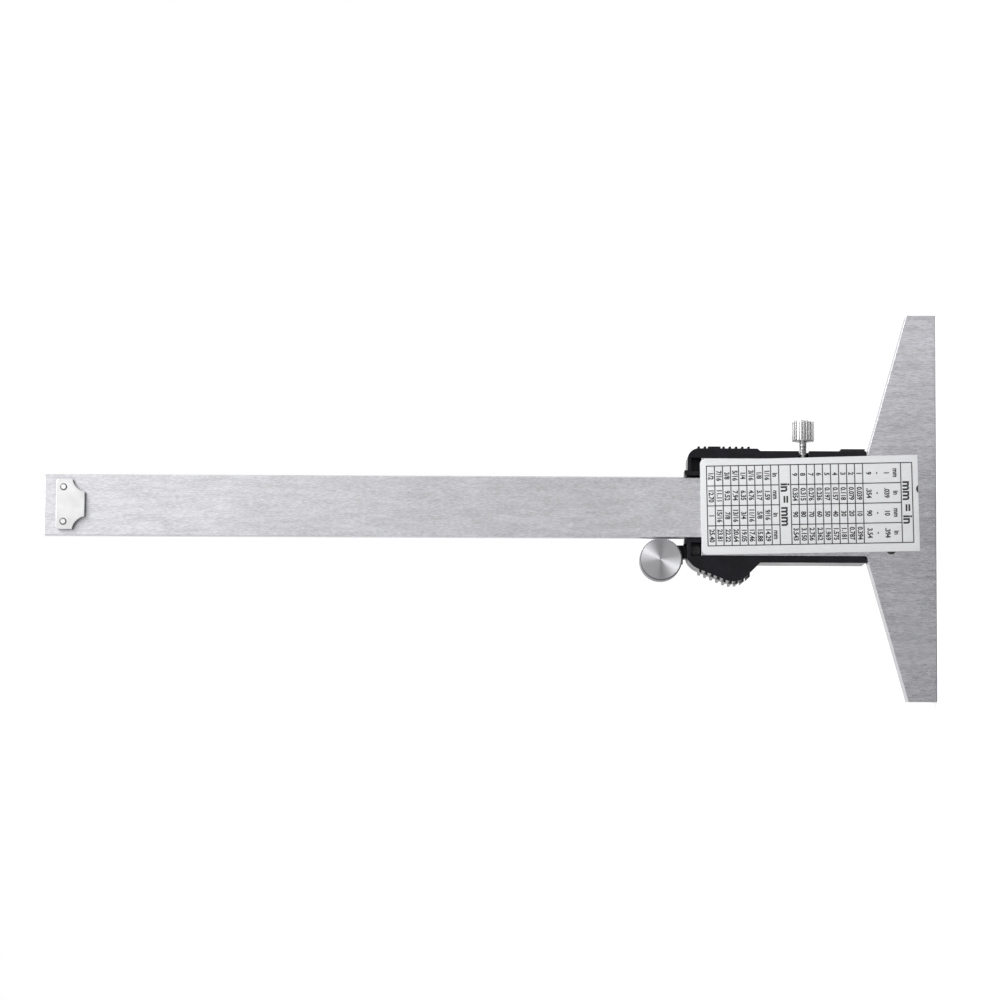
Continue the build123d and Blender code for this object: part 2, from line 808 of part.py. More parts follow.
with BuildPart() as lcd_window:
    with BuildSketch(across(bezel_front + window_thickness)):
        with Locations((display_x, display_z)):
            RectangleRounded(window_width, window_length, window_corner - window_gap)
    extrude(amount=window_thickness)
finish(lcd_window, "lcd_window")

# ----------------------------------------------------- display, board and buttons

with BuildPart() as circuit_board:
    with BuildSketch(across(board_back)):
        with Locations((0, (board_bottom + board_top) / 2)):
            Rectangle(board_width, board_top - board_bottom)
        for side in (1, -1):
            with Locations((side * (case_screw_x + screw_boss_radius), case_screw_high)):
                Rectangle(
                    4 * screw_boss_radius + 2 * board_top_gap,
                    2 * (screw_boss_radius + board_top_gap),
                    mode=Mode.SUBTRACT,
                )
        with Locations(*board_screw_places):
            Circle(board_screw_radius + screw_hole_gap, mode=Mode.SUBTRACT)
    extrude(amount=board_thickness)
finish(circuit_board, "circuit_board")

with BuildPart() as board_screws:
    with BuildSketch(across(board_front)):
        with Locations(*board_screw_places):
            Circle(board_screw_radius)
    extrude(amount=-(board_thickness + board_screw_depth - seat_gap))
    with BuildSketch(across(board_front)):
        with Locations(*board_screw_places):
            Circle(board_screw_head_radius)
    extrude(amount=board_screw_head_height)
    with BuildSketch(across(board_front - board_screw_head_height)):
        with Locations(*board_screw_places):
            Rectangle(2 * board_screw_head_radius, slot_width)
    extrude(amount=-slot_depth, mode=Mode.SUBTRACT)
finish(board_screws, "board_screws")

with BuildPart() as signal_chip:
    with BuildSketch(across(board_front)):
        with Locations((display_x, display_z)):
            Rectangle(chip_size, chip_size)
    extrude(amount=chip_height)
    fillet(signal_chip.edges().group_by(Axis.Y)[0], chip_round)
finish(signal_chip, "signal_chip")

connector_x = glass_width / 2 - connector_inset - connector_width / 2

with BuildPart() as lcd_connectors:
    with BuildSketch(across(board_front)):
        with Locations((display_x - connector_x, display_z), (display_x + connector_x, display_z)):
            Rectangle(connector_width, glass_length - 2 * connector_end_inset)
    extrude(amount=connector_height)
finish(lcd_connectors, "lcd_connectors")

with BuildPart() as lcd_glass:
    with BuildSketch(across(glass_back)):
        with Locations((display_x, display_z)):
            Rectangle(glass_width, glass_length)
    extrude(amount=glass_thickness)
finish(lcd_glass, "lcd_glass")

carrier_rim = carrier_gap + carrier_wall
carrier_ledge = connector_inset - carrier_gap

with BuildPart() as lcd_carrier:
    with BuildSketch(across(board_front)):
        with Locations((display_x, display_z)):
            Rectangle(glass_width + 2 * carrier_rim, glass_length + 2 * carrier_rim)
    extrude(amount=connector_height + glass_thickness)
    with BuildSketch(across(board_front)):
        with Locations((display_x, display_z)):
            Rectangle(glass_width - 2 * carrier_ledge, glass_length - 2 * carrier_ledge)
    extrude(amount=connector_height, mode=Mode.SUBTRACT)
    with BuildSketch(across(glass_back)):
        with Locations((display_x, display_z)):
            Rectangle(glass_width + 2 * carrier_gap, glass_length + 2 * carrier_gap)
    extrude(amount=glass_thickness, mode=Mode.SUBTRACT)
finish(lcd_carrier, "lcd_carrier")

with BuildPart() as button_domes:
    with BuildSketch(across(board_front)):
        with Locations(*[(button_x, height) for height in button_heights]):
            Circle(dome_radius)
    extrude(amount=dome_height, taper=45)
finish(button_domes, "button_domes")

flange_back = plate_back + button_play + button_flange_height
stem_back = board_front - dome_height - button_travel - button_play


def push_button(name, height):
    """One round button: cap, retaining flange behind the bezel plate, and stem."""
    with BuildPart() as button:
        with BuildSketch(across(stem_back)):
            with Locations((button_x, height)):
                Circle(button_stem_radius)
        extrude(amount=stem_back - flange_back)
        with BuildSketch(across(flange_back)):
            with Locations((button_x, height)):
                Circle(button_flange_radius)
        extrude(amount=button_flange_height)
        with BuildSketch(across(flange_back - button_flange_height)):
            with Locations((button_x, height)):
                Circle(button_radius)
        extrude(amount=flange_back - button_flange_height - bezel_front + button_proud)
        fillet(button.edges().group_by(Axis.Y)[0], button_round)
    finish(button, name)


for button_name, button_height in zip(("power_button", "zero_button", "unit_button"), button_heights):
    push_button(button_name, button_height)

# ------------------------------------------------------------- coin cell and cover

with BuildPart() as battery:
    with BuildSketch(across(cell_back)):
        with Locations((0, cell_z)):
            Circle(cell_step_radius)
    extrude(amount=cell_step_height)
    with BuildSketch(across(cell_back - cell_step_height)):
        with Locations((0, cell_z)):
            Circle(cell_radius)
    extrude(amount=cell_height - cell_step_height)
    fillet(battery.edges().group_by(Axis.Y)[0], cell_round)
finish(battery, "battery")

with BuildPart() as battery_contact_back:
    with BuildSketch(across(board_front)):
        with Locations((0, cell_z)):
            Rectangle(contact_width, contact_length)
    extrude(amount=contact_thickness)
    with BuildSketch(across(board_front - contact_thickness)):
        with Locations((0, cell_z)):
            Circle(contact_nub_radius)
    extrude(amount=contact_rise)
finish(battery_contact_back, "battery_contact_back")

with BuildPart() as battery_contact_side:
    with BuildSketch(across(board_front)):
        with Locations((cell_radius + press_gap + contact_thickness / 2, cell_z)):
            Rectangle(contact_thickness, contact_length)
    extrude(amount=board_front - housing_front - contact_thickness)
finish(battery_contact_side, "battery_contact_side")

cover_rib_places = [
    (0, cover_z + cover_rib_pitch * (step - (cover_rib_count - 1) / 2))
    for step in range(cover_rib_count)
]

with BuildPart() as battery_cover:
    with BuildSketch(across(cover_back)):
        with Locations((0, cover_z)):
            Rectangle(cover_width, cover_length)
    extrude(amount=cover_thickness)
    with BuildSketch(across(cover_back)):
        with Locations((0, cover_z)):
            Rectangle(cover_width + 2 * cover_tongue, cover_length)
    extrude(amount=cover_tongue_thickness)
    with BuildSketch(across(bezel_front)):
        with Locations(*cover_rib_places):
            Rectangle(cover_rib_length, cover_rib_width)
    extrude(amount=cover_rib_height)
finish(battery_cover, "battery_cover")

# ----------------------------------------------------------------------- data port

socket_pad_places = [
    (port_y, port_z + socket_pad_pitch * (step - (socket_pad_count - 1) / 2))
    for step in range(socket_pad_count)
]

with BuildPart() as data_socket:
    with BuildSketch(sideways(-(port_floor_x - socket_depth))):
        with Locations(*socket_pad_places):
            Rectangle(socket_width, socket_pad_width)
    extrude(amount=-socket_pad_height)
finish(data_socket, "data_socket")

with BuildPart() as data_port_cover:
    with BuildSketch(sideways(-(port_floor_x + port_gap))):
        with Locations((port_y, port_z)):
            Rectangle(port_tongue_width, port_length)
    extrude(amount=-(port_tongue_thickness - 2 * port_gap))
    with BuildSketch(sideways(-(port_floor_x + port_gap))):
        with Locations((port_y, port_z)):
            Rectangle(port_neck_width, port_length)
    extrude(amount=-port_slot_depth)
    with BuildSketch(sideways(-(lock_edge_x + port_gap))):
        with Locations((port_y, port_z - port_cap_overhang / 2)):
            Rectangle(port_width, port_length + port_cap_overhang)
    extrude(amount=-(port_cap - port_gap))
    fillet(data_port_cover.faces().sort_by(Axis.X)[0].edges(), port_cap_round)
finish(data_port_cover, "data_port_cover")

# ---------------------------------------------------------------------- case screws

with BuildPart() as housing_screws:
    with BuildSketch(across(frame_back)):
        with Locations(*case_screw_places):
            Circle(case_screw_head_radius)
    extrude(amount=case_screw_head_height)
    with BuildSketch(across(frame_back)):
        with Locations(*case_screw_places):
            Circle(case_screw_radius)
    extrude(amount=frame_back - plate_back - case_screw_end_gap)
    with BuildSketch(across(frame_back)):
        with Locations(*case_screw_places):
            Rectangle(2 * case_screw_radius, slot_width)
            Rectangle(slot_width, 2 * case_screw_radius)
    extrude(amount=slot_depth, mode=Mode.SUBTRACT)
finish(housing_screws, "housing_screws")

# ------------------------------------------------------------ lock screw and its pad

pad_tip = gib_outer + lock_pad_gap
screw_tip = pad_tip + lock_pad_length + thread_gap
lock_head_start = frame_edge + lock_head_clear

with BuildPart() as lock_pad:
    with BuildSketch(sideways(-pad_tip)):
        with Locations((0, lock_height)):
            Circle(lock_thread_radius)
    extrude(amount=-lock_pad_length)
finish(lock_pad, "lock_pad")

with BuildPart() as lock_screw:
    with BuildSketch(sideways(-screw_tip)):
        with Locations((0, lock_height)):
            Circle(lock_thread_radius)
    extrude(amount=-(lock_head_start - screw_tip))
    with BuildSketch(sideways(-lock_head_start)):
        with Locations((0, lock_height)):
            Circle(lock_head_radius)
    extrude(amount=-lock_head_length)
    chamfer(
        lock_screw.edges().filter_by(GeomType.CIRCLE).group_by(Axis.X)[0],
        lock_head_chamfer,
    )
    chamfer(
        lock_screw.faces().filter_by(Axis.X).sort_by(Axis.X)[1].outer_wire().edges(),
        lock_head_chamfer,
    )
    with BuildSketch(sideways(-lock_head_start)):
        with Locations((0, lock_height)):
            with PolarLocations(lock_head_radius, lock_flute_count):
                Circle(lock_flute_radius)
    extrude(amount=-lock_head_length, mode=Mode.SUBTRACT)
finish(lock_screw, "lock_screw")

# -------------------------------------------------- thumb wheel, axle and bracket

with BuildPart() as thumb_wheel:
    with BuildSketch(across(wheel_back)):
        with Locations((wheel_x, wheel_height)):
            Circle(wheel_radius)
    extrude(amount=wheel_length)
    chamfer(thumb_wheel.edges().filter_by(GeomType.CIRCLE), wheel_chamfer)
    with BuildSketch(across(wheel_back)):
        with Locations((wheel_x, wheel_height)):
            with PolarLocations(wheel_radius, wheel_groove_count):
                Circle(wheel_groove_radius)
    extrude(amount=wheel_length, mode=Mode.SUBTRACT)
    with BuildSketch(across(wheel_front)):
        with Locations((wheel_x, wheel_height)):
            Circle(axle_radius + press_gap)
    extrude(amount=-axle_in_wheel, mode=Mode.SUBTRACT)
finish(thumb_wheel, "thumb_wheel")

with BuildPart() as wheel_axle:
    with BuildSketch(across(wheel_front + axle_in_wheel - press_gap)):
        with Locations((wheel_x, wheel_height)):
            Circle(axle_radius)
    extrude(amount=wheel_front + axle_in_wheel - press_gap - bracket_front + axle_gap)
    with BuildSketch(across(bracket_front - axle_gap)):
        with Locations((wheel_x, wheel_height)):
            Circle(axle_head_radius)
    extrude(amount=axle_head_height)
    with BuildSketch(across(bracket_front - axle_gap - axle_head_height)):
        with Locations((wheel_x, wheel_height)):
            Rectangle(2 * axle_head_radius, slot_width)
    extrude(amount=-slot_depth, mode=Mode.SUBTRACT)
finish(wheel_axle, "wheel_axle")

root_top = shell_top + lip_height

with BuildPart() as wheel_bracket:
    with BuildSketch(across(bracket_root_back)):
        with Locations((bracket_root_x, (frame_seat_top + seat_gap + root_top) / 2)):
            Rectangle(bracket_root_width, root_top - frame_seat_top - seat_gap)
    extrude(amount=bracket_root_back - bracket_front)
    with BuildSketch(across(bracket_back)) as arm_face:
        with BuildLine():
            Polyline(
                (bracket_inner_x, root_top),
                (bracket_inner_x, wheel_height),
                (bracket_arm_x, wheel_height),
                (bracket_arm_x, root_top),
                close=True,
            )
        make_face()
        with Locations((wheel_x, wheel_height)):
            Circle(bracket_eye_radius)
            Circle(axle_radius + axle_gap, mode=Mode.SUBTRACT)
    extrude(amount=bracket_thickness)
    with BuildSketch(across(bracket_root_back)):
        with Locations((bracket_screw_x, well_z)):
            Circle(bracket_screw_radius + thread_gap)
    extrude(amount=bracket_screw_length, mode=Mode.SUBTRACT)
finish(wheel_bracket, "wheel_bracket")

with BuildPart() as bracket_screw:
    with BuildSketch(across(well_floor)):
        with Locations((bracket_screw_x, well_z)):
            Circle(bracket_screw_radius)
    extrude(amount=bracket_screw_length)
    with BuildSketch(across(well_floor)):
        with Locations((bracket_screw_x, well_z)):
            Circle(bracket_screw_head_radius)
    extrude(amount=-bracket_screw_head_height)
    with BuildSketch(across(well_floor + bracket_screw_head_height)):
        with Locations((bracket_screw_x, well_z)):
            Rectangle(2 * bracket_screw_head_radius, slot_width)
            Rectangle(slot_width, 2 * bracket_screw_head_radius)
    extrude(amount=slot_depth, mode=Mode.SUBTRACT)
finish(bracket_screw, "bracket_screw")
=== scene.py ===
import math
from fractions import Fraction

import bmesh
import bpy
from mathutils import Matrix, Vector


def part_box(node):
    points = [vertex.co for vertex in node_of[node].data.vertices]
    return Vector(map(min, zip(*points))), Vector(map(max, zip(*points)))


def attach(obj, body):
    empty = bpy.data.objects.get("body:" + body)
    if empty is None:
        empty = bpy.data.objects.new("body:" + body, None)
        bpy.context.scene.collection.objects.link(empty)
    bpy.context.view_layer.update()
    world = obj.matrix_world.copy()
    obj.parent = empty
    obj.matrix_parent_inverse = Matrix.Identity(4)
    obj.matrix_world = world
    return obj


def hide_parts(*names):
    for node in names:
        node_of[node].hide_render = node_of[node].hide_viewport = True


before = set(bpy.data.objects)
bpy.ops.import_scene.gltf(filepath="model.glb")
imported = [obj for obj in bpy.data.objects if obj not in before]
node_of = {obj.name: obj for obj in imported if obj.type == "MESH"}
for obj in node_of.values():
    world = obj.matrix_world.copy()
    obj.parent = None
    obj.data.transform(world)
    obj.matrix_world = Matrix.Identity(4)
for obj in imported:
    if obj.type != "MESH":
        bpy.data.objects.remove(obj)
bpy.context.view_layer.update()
mm = 0.001

# -------------------------------------------------------------- table, camera and light
# The gauge stands on its measuring face on a pale table, seen straight from its labelled
# back with the rod lying to the left. A soft key lamp stands up the rod on the lock
# screw's side, a weaker one lights the display, and the room round them is white.

camera_place = Vector((69.4, 831.0, 98.0)) * mm
camera_target = Vector((-1.49, 4.3, 112.58)) * mm
camera_roll = 0.343
camera_lens = 115.5
camera_sensor = 36.0
camera_near = 10 * mm
room_light = 0.76
room_dim, room_bright = 1.0, 1.08
bright_side = Vector((-1.0, 0.0, 0.6)).normalized()
bright_span = (0.0, 0.12)
backdrop_side = Vector((0.0, -1.0, 0.0))
backdrop_span = (0.9, 0.98)
key_place = Vector((-420.0, 560.0, 700.0)) * mm
key_size = 300 * mm
key_power = 3.0
window_glow = 5.6
window_span = (0.81, 0.93)
front_place = Vector((-520.0, -560.0, 560.0)) * mm
front_size = 500 * mm
front_power = 1.2
lamp_aim = Vector((0.0, 0.0, 110.0)) * mm
table_size = 40.0
table_colour = 0.62
table_glow = 0.58
table_drop = 0.02 * mm
card_x_span, card_y_span = (0.0, -0.06), (0.5, 0.3)
ground_y_span = (-0.03, -0.25)
dull_y_span = (0.4, 1.6)

seen_from = (camera_place - camera_target).normalized()
picture_up = Vector((-1, 0, 0))
picture_up = (picture_up - picture_up.dot(seen_from) * seen_from).normalized()
picture_up = Matrix.Rotation(math.radians(camera_roll), 3, seen_from) @ picture_up
picture_right = picture_up.cross(seen_from)
camera_data = bpy.data.cameras.new("camera")
camera_data.lens = camera_lens
camera_data.sensor_width = camera_sensor
camera_data.clip_start = camera_near
camera = bpy.data.objects.new("camera", camera_data)
bpy.context.scene.collection.objects.link(camera)
turn = Matrix((picture_right, picture_up, seen_from)).transposed().to_4x4()
camera.matrix_world = Matrix.Translation(camera_place) @ turn
bpy.context.scene.camera = camera
bpy.context.scene.view_settings.view_transform = "Standard"


def soft_lamp(name, place, size, power):
    """A square soft box that points at the middle of the gauge."""
    data = bpy.data.lights.new(name, "AREA")
    data.size = size
    data.energy = power
    lamp = bpy.data.objects.new(name, data)
    bpy.context.scene.collection.objects.link(lamp)
    aimed = (lamp_aim - place).to_track_quat("-Z", "Y").to_matrix().to_4x4()
    lamp.matrix_world = Matrix.Translation(place) @ aimed


soft_lamp("key_light", key_place, key_size, key_power)
soft_lamp("front_light", front_place, front_size, front_power)


def add_node(tree, kind, **settings):
    """A shader node of this kind with these settings."""
    made = tree.nodes.new("ShaderNode" + kind)
    for name, value in settings.items():
        setattr(made, name, value)
    return made


def put(tree, socket, value):
    """Links the socket to another node's output, or sets it to a plain value."""
    if isinstance(value, bpy.types.NodeSocket):
        tree.links.new(value, socket)
    else:
        socket.default_value = value


def maths(tree, operation, first, second=0.0):
    """One step of arithmetic on values or outputs."""
    step = add_node(tree, "Math", operation=operation)
    put(tree, step.inputs[0], first)
    put(tree, step.inputs[1], second)
    return step.outputs[0]


def times(tree, first, second):
    """The product of two values or outputs."""
    return maths(tree, "MULTIPLY", first, second)


def vector_maths(tree, operation, first, second=None, result="Vector"):
    """One step of arithmetic on vectors."""
    step = add_node(tree, "VectorMath", operation=operation)
    put(tree, step.inputs[0], first)
    if second is not None:
        put(tree, step.inputs[1], second)
    return step.outputs[result]


def remap(tree, value, low, high, to_low=0.0, to_high=1.0):
    """The value carried from one span to another and held inside it."""
    step = add_node(tree, "MapRange")
    put(tree, step.inputs["Value"], value)
    spans = (("From Min", low), ("From Max", high), ("To Min", to_low), ("To Max", to_high))
    for label, amount in spans:
        put(tree, step.inputs[label], amount)
    return step.outputs["Result"]


def select_only(*pieces):
    """Selects these pieces and nothing else, and makes the first one active."""
    bpy.ops.object.select_all(action="DESELECT")
    for piece in pieces:
        piece.select_set(True)
    if pieces:
        bpy.context.view_layer.objects.active = pieces[0]


def seen_directly(tree, path):
    """Whether the ray comes from the camera, or through the display's clear window."""
    return maths(tree, "MAXIMUM", path["Is Camera Ray"], path["Is Transmission Ray"])


# the room is white where it is seen, and in metal it is a little brighter on one side,
# with a white backdrop behind the gauge and a broad window round the key lamp
world = bpy.data.worlds.new("room")
world.use_nodes = True
bpy.context.scene.world = world
tree = world.node_tree
room = tree.nodes["Background"]
room.inputs["Color"].default_value = (1, 1, 1, 1)
path = add_node(tree, "LightPath").outputs
looking = add_node(tree, "TexCoord").outputs["Generated"]
leans = [vector_maths(tree, "DOT_PRODUCT", looking, way, "Value")
         for way in (bright_side, backdrop_side, key_place.normalized())]
side = remap(tree, leans[0], *bright_span, room_dim, room_bright)
backdrop = remap(tree, leans[1], *backdrop_span)
window = remap(tree, leans[2], *window_span, 0.0, window_glow)
lit = maths(tree, "MAXIMUM", maths(tree, "MAXIMUM", side, backdrop), window)
glossy = times(tree, path["Is Glossy Ray"], lit)
straight = maths(tree, "MAXIMUM", seen_directly(tree, path), glossy)
spread = times(tree, path["Is Diffuse Ray"], room_light)
put(tree, room.inputs["Strength"], maths(tree, "MAXIMUM", straight, spread))

select_only()
bpy.ops.mesh.primitive_plane_add(size=table_size, location=(0, 0, -table_drop))
table = bpy.context.object
table.name = "table"
table_paint = bpy.data.materials.new("table_paint")
table_paint.use_nodes = True
tree = table_paint.node_tree
tree.nodes.remove(tree.nodes["Principled BSDF"])
matte = add_node(tree, "BsdfDiffuse")
glow = add_node(tree, "Emission")
both = add_node(tree, "AddShader")
path = add_node(tree, "LightPath").outputs
table_place = add_node(tree, "SeparateXYZ")
put(tree, table_place.inputs[0], add_node(tree, "TexCoord").outputs["Object"])
table_place = table_place.outputs
# metal sees a white card beside the base, white ground behind the gauge, and the rest of
# the table darker the further it is from the labelled back
card = times(tree, remap(tree, table_place["X"], *card_x_span),
             remap(tree, table_place["Y"], *card_y_span))
card = maths(tree, "MAXIMUM", card, remap(tree, table_place["Y"], *ground_y_span))
far = times(tree, remap(tree, table_place["Y"], *dull_y_span), path["Is Glossy Ray"])
shade = maths(tree, "SUBTRACT", 1.0, far)
put(tree, matte.inputs["Color"], times(tree, shade, table_colour))
seen = maths(tree, "MAXIMUM", seen_directly(tree, path),
             times(tree, path["Is Glossy Ray"], card))
put(tree, glow.inputs["Strength"], times(tree, seen, table_glow))
put(tree, both.inputs[0], matte.outputs[0])
put(tree, both.inputs[1], glow.outputs[0])
put(tree, tree.nodes["Material Output"].inputs["Surface"], both.outputs[0])
table.data.materials.append(table_paint)

# --------------------------------------------------------------------------------- rod
# The rod is a flat bar of stainless steel, ground and then brushed along its length. Its
# long edges are broken, and sliding in the frame leaves fine scratches along it.


def grey(value, tint=1.0):
    """A near-neutral colour, its blue raised or lowered by the tint."""
    return (value, value, value * tint, 1)


noise_span = (0.3, 0.7)
streak_scale = 0.16
scratch_across, scratch_along = 1.7, 0.22
scratch_span = (0.69, 0.76)
rim_span = (0.995, 0.9)
patch_scale, patch_span = 700.0, (0.35, 0.65)
brushed_edge, brushed_smudges = 0.15 * mm, 45.0
grain_share, streak_share = 0.7, 0.3
brushed_span = (0.38, 0.62)
scratch_colour, worn_steel = grey(0.8), grey(0.85)
grain_turn = 0.25


def new_group(name, inputs, outputs):
    """A shader node group with these sockets, and its two end nodes."""
    tree = bpy.data.node_groups.new(name, "ShaderNodeTree")
    for way, labels in (("INPUT", inputs), ("OUTPUT", outputs)):
        for label in labels:
            kind = "Vector" if label in ("Vector", "Normal") else "Float"
            tree.interface.new_socket(label, in_out=way, socket_type="NodeSocket" + kind)
    return tree, tree.nodes.new("NodeGroupInput"), tree.nodes.new("NodeGroupOutput")


def stretched(tree, vector, across, along):
    """The vector with its X and Y multiplied by across and its Z by along."""
    parts = add_node(tree, "SeparateXYZ")
    whole = add_node(tree, "CombineXYZ")
    put(tree, parts.inputs[0], vector)
    for axis, rate in zip("XYZ", (across, across, along)):
        put(tree, whole.inputs[axis], times(tree, parts.outputs[axis], rate))
    return whole.outputs[0]


def noise(tree, vector, scale, detail=2.0, rough=0.5):
    """Soft noise between 0 and 1."""
    made = add_node(tree, "TexNoise")
    put(tree, made.inputs["Vector"], vector)
    put(tree, made.inputs["Scale"], scale)
    made.inputs["Detail"].default_value = detail
    made.inputs["Roughness"].default_value = rough
    return made.outputs["Fac"]


def full(tree, value):
    """Noise carried to the full span between 0 and 1."""
    return remap(tree, value, *noise_span)


# brushed grain: lines along Z, longer streaks and a few single scratches
grain_tree, grain_in, grain_out = new_group(
    "brushed_grain", ("Vector", "Across", "Along"), ("Grain", "Streak", "Scratch"))
across, along = grain_in.outputs["Across"], grain_in.outputs["Along"]
fine = stretched(grain_tree, grain_in.outputs["Vector"], across, along)
put(grain_tree, grain_out.inputs["Grain"], noise(grain_tree, fine, 1.0, 4.0, 0.65))
put(grain_tree, grain_out.inputs["Streak"], noise(grain_tree, fine, streak_scale, 3.0, 0.6))
thin = times(grain_tree, across, scratch_across)
long = times(grain_tree, along, scratch_along)
scored = noise(grain_tree, stretched(grain_tree, grain_in.outputs["Vector"], thin, long), 1.0)
put(grain_tree, grain_out.inputs["Scratch"], remap(grain_tree, scored, *scratch_span))

# worn surface: a worn rim at the edges, finger smudges, and the normal of a broken edge
wear_tree, wear_in, wear_out = new_group(
    "worn_surface", ("Vector", "Edge Radius", "Smudge Scale"), ("Edge", "Smudge", "Normal"))
round_edge = add_node(wear_tree, "Bevel", samples=4)
put(wear_tree, round_edge.inputs["Radius"], wear_in.outputs["Edge Radius"])
flat = add_node(wear_tree, "NewGeometry")
meet = vector_maths(wear_tree, "DOT_PRODUCT", round_edge.outputs["Normal"],
                    flat.outputs["Normal"], "Value")
rim = remap(wear_tree, meet, *rim_span)
patchy = noise(wear_tree, wear_in.outputs["Vector"], patch_scale, 3.0)
worn = times(wear_tree, rim, remap(wear_tree, patchy, *patch_span))
put(wear_tree, wear_out.inputs["Edge"], worn)
smudge = noise(wear_tree, wear_in.outputs["Vector"], wear_in.outputs["Smudge Scale"], 4.0, 0.6)
put(wear_tree, wear_out.inputs["Smudge"], full(wear_tree, smudge))
put(wear_tree, wear_out.inputs["Normal"], round_edge.outputs["Normal"])


def use_group(tree, group, vector, **values):
    """A group placed in a material with its own values."""
    made = add_node(tree, "Group")
    made.node_tree = group
    put(tree, made.inputs["Vector"], vector)
    for label, value in values.items():
        made.inputs[label.replace("_", " ")].default_value = value
    return made.outputs


def new_material(name, **constants):
    """An empty material: itself, its tree, its shader and object coordinates."""
    made = bpy.data.materials.new(name)
    made.use_nodes = True
    shader = made.node_tree.nodes["Principled BSDF"]
    for label, value in constants.items():
        shader.inputs[label.replace("_", " ")].default_value = value
    place = add_node(made.node_tree, "TexCoord").outputs["Object"]
    return made, made.node_tree, shader, place


def blend(tree, share, first, second):
    """A colour between two, by a share that changes over the surface."""
    made = add_node(tree, "Mix", data_type="RGBA")
    put(tree, made.inputs["Factor"], share)
    put(tree, made.inputs[6], first)
    put(tree, made.inputs[7], second)
    return made.outputs[2]


def tinted(tree, tone, output, share, colour):
    """The tone, taken towards a colour by a share of an output."""
    return blend(tree, times(tree, output, share), tone, colour)


def bumped(tree, shader, height, depth, normal):
    """Relief of this depth in metres over a normal, from a height between 0 and 1."""
    made = add_node(tree, "Bump")
    made.inputs["Distance"].default_value = depth
    put(tree, made.inputs["Height"], height)
    put(tree, made.inputs["Normal"], normal)
    put(tree, shader.inputs["Normal"], made.outputs[0])


def roughened(tree, shader, rough, *shares):
    """The shader's roughness: a plain value and a share of each of these outputs."""
    for output, share in shares:
        rough = maths(tree, "ADD", times(tree, output, share), rough)
    put(tree, shader.inputs["Roughness"], rough)


def brushed_steel(name, dark, light, rough, across, along, depth, pull=0.4):
    """Steel brushed along Z: grain, streaks, scratches, smudges and bright worn edges."""
    made, tree, shader, place = new_material(name, Metallic=1.0, Anisotropic=pull,
                                             Anisotropic_Rotation=grain_turn)
    grain = use_group(tree, grain_tree, place, Across=across, Along=along)
    wear = use_group(tree, wear_tree, place, Edge_Radius=brushed_edge, Smudge_Scale=brushed_smudges)
    lay = add_node(tree, "CombineXYZ")
    lay.inputs["Z"].default_value = 1.0
    put(tree, shader.inputs["Tangent"], lay.outputs[0])
    tone = times(tree, grain["Grain"], grain_share)
    tone = maths(tree, "ADD", tone, times(tree, grain["Streak"], streak_share))
    colour = blend(tree, remap(tree, tone, *brushed_span), dark, light)
    colour = tinted(tree, colour, grain["Scratch"], 0.3, scratch_colour)
    colour = tinted(tree, colour, wear["Edge"], 0.6, worn_steel)
    put(tree, shader.inputs["Base Color"], colour)
    roughened(tree, shader, rough, (grain["Grain"], 0.12), (wear["Smudge"], 0.07))
    bumped(tree, shader, grain["Grain"], depth, wear["Normal"])
    return made


def dress(material, *nodes):
    """Gives machined or moulded pieces their finish."""
    for node in nodes:
        for slot in node_of[node].material_slots:
            slot.material = material


rod_steel = brushed_steel("rod_steel", grey(0.53, 1.03), grey(0.755, 1.05), rough=0.22,
                          across=5000.0, along=950.0, depth=2.0e-6)
dress(rod_steel, "beam")

# -------------------------------------------------------------------------- scale film
# A thin capacitive board is glued into a pocket on the display side of the rod, under a
# printed black film with white graduations. Millimetres run along one edge of the film
# and inches along the other, both from the reading edge of the display unit at zero.

film_black, film_worn = (0.012, 0.012, 0.014, 1), (0.03, 0.03, 0.034, 1)
board_dark, board_light = (0.02, 0.085, 0.035, 1), (0.035, 0.13, 0.055, 1)
film_low, film_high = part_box("scale_overlay")
zero_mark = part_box("front_bezel")[1].z
film_edge = film_high.x
up_the_rod = (0, 0, 1), (-1, 0, 0)
edge_gap = 0.35 * mm
mark_width = 0.15 * mm
millimetre_marks = ((1, 151, 1.7 * mm), (5, 31, 2.3 * mm), (10, 16, 2.9 * mm))
inch = 25.4 * mm
inch_marks = ((16, 94, 1.6 * mm), (8, 47, 2.1 * mm), (4, 24, 2.5 * mm), (1, 6, 3.1 * mm))
figure_size = 2.2 * mm
ink_thickness = 0.02 * mm
millimetre_row, inch_row = 1.55 * mm, -1.75 * mm
zero_figure, unit_figure, last_figure = 1.2 * mm, 5 * mm, 147.9 * mm
unit_share, inch_share = 0.8, 1.2
plastic_edge, plastic_smudges = 0.2 * mm, 70.0
mottle_scale, ink_cover_scale = 240.0, 9000.0


def moulded_plastic(name, colour, light, rough, scale=5200.0, depth=4e-6, gloss=0.5):
    """Moulded plastic: fine eroded texture, mottle, smudges and polished worn edges."""
    made, tree, shader, place = new_material(name, Specular_IOR_Level=gloss)
    wear = use_group(tree, wear_tree, place, Edge_Radius=plastic_edge, Smudge_Scale=plastic_smudges)
    pebble = noise(tree, place, scale, 3.0, 0.55)
    mottle = full(tree, noise(tree, place, mottle_scale, 3.0))
    tone = tinted(tree, colour, mottle, 0.5, light)
    tone = tinted(tree, tone, wear["Edge"], 0.55, light)
    put(tree, shader.inputs["Base Color"], tone)
    roughened(tree, shader, rough, (wear["Smudge"], -0.1), (pebble, 0.08))
    bumped(tree, shader, pebble, depth, wear["Normal"])
    return made


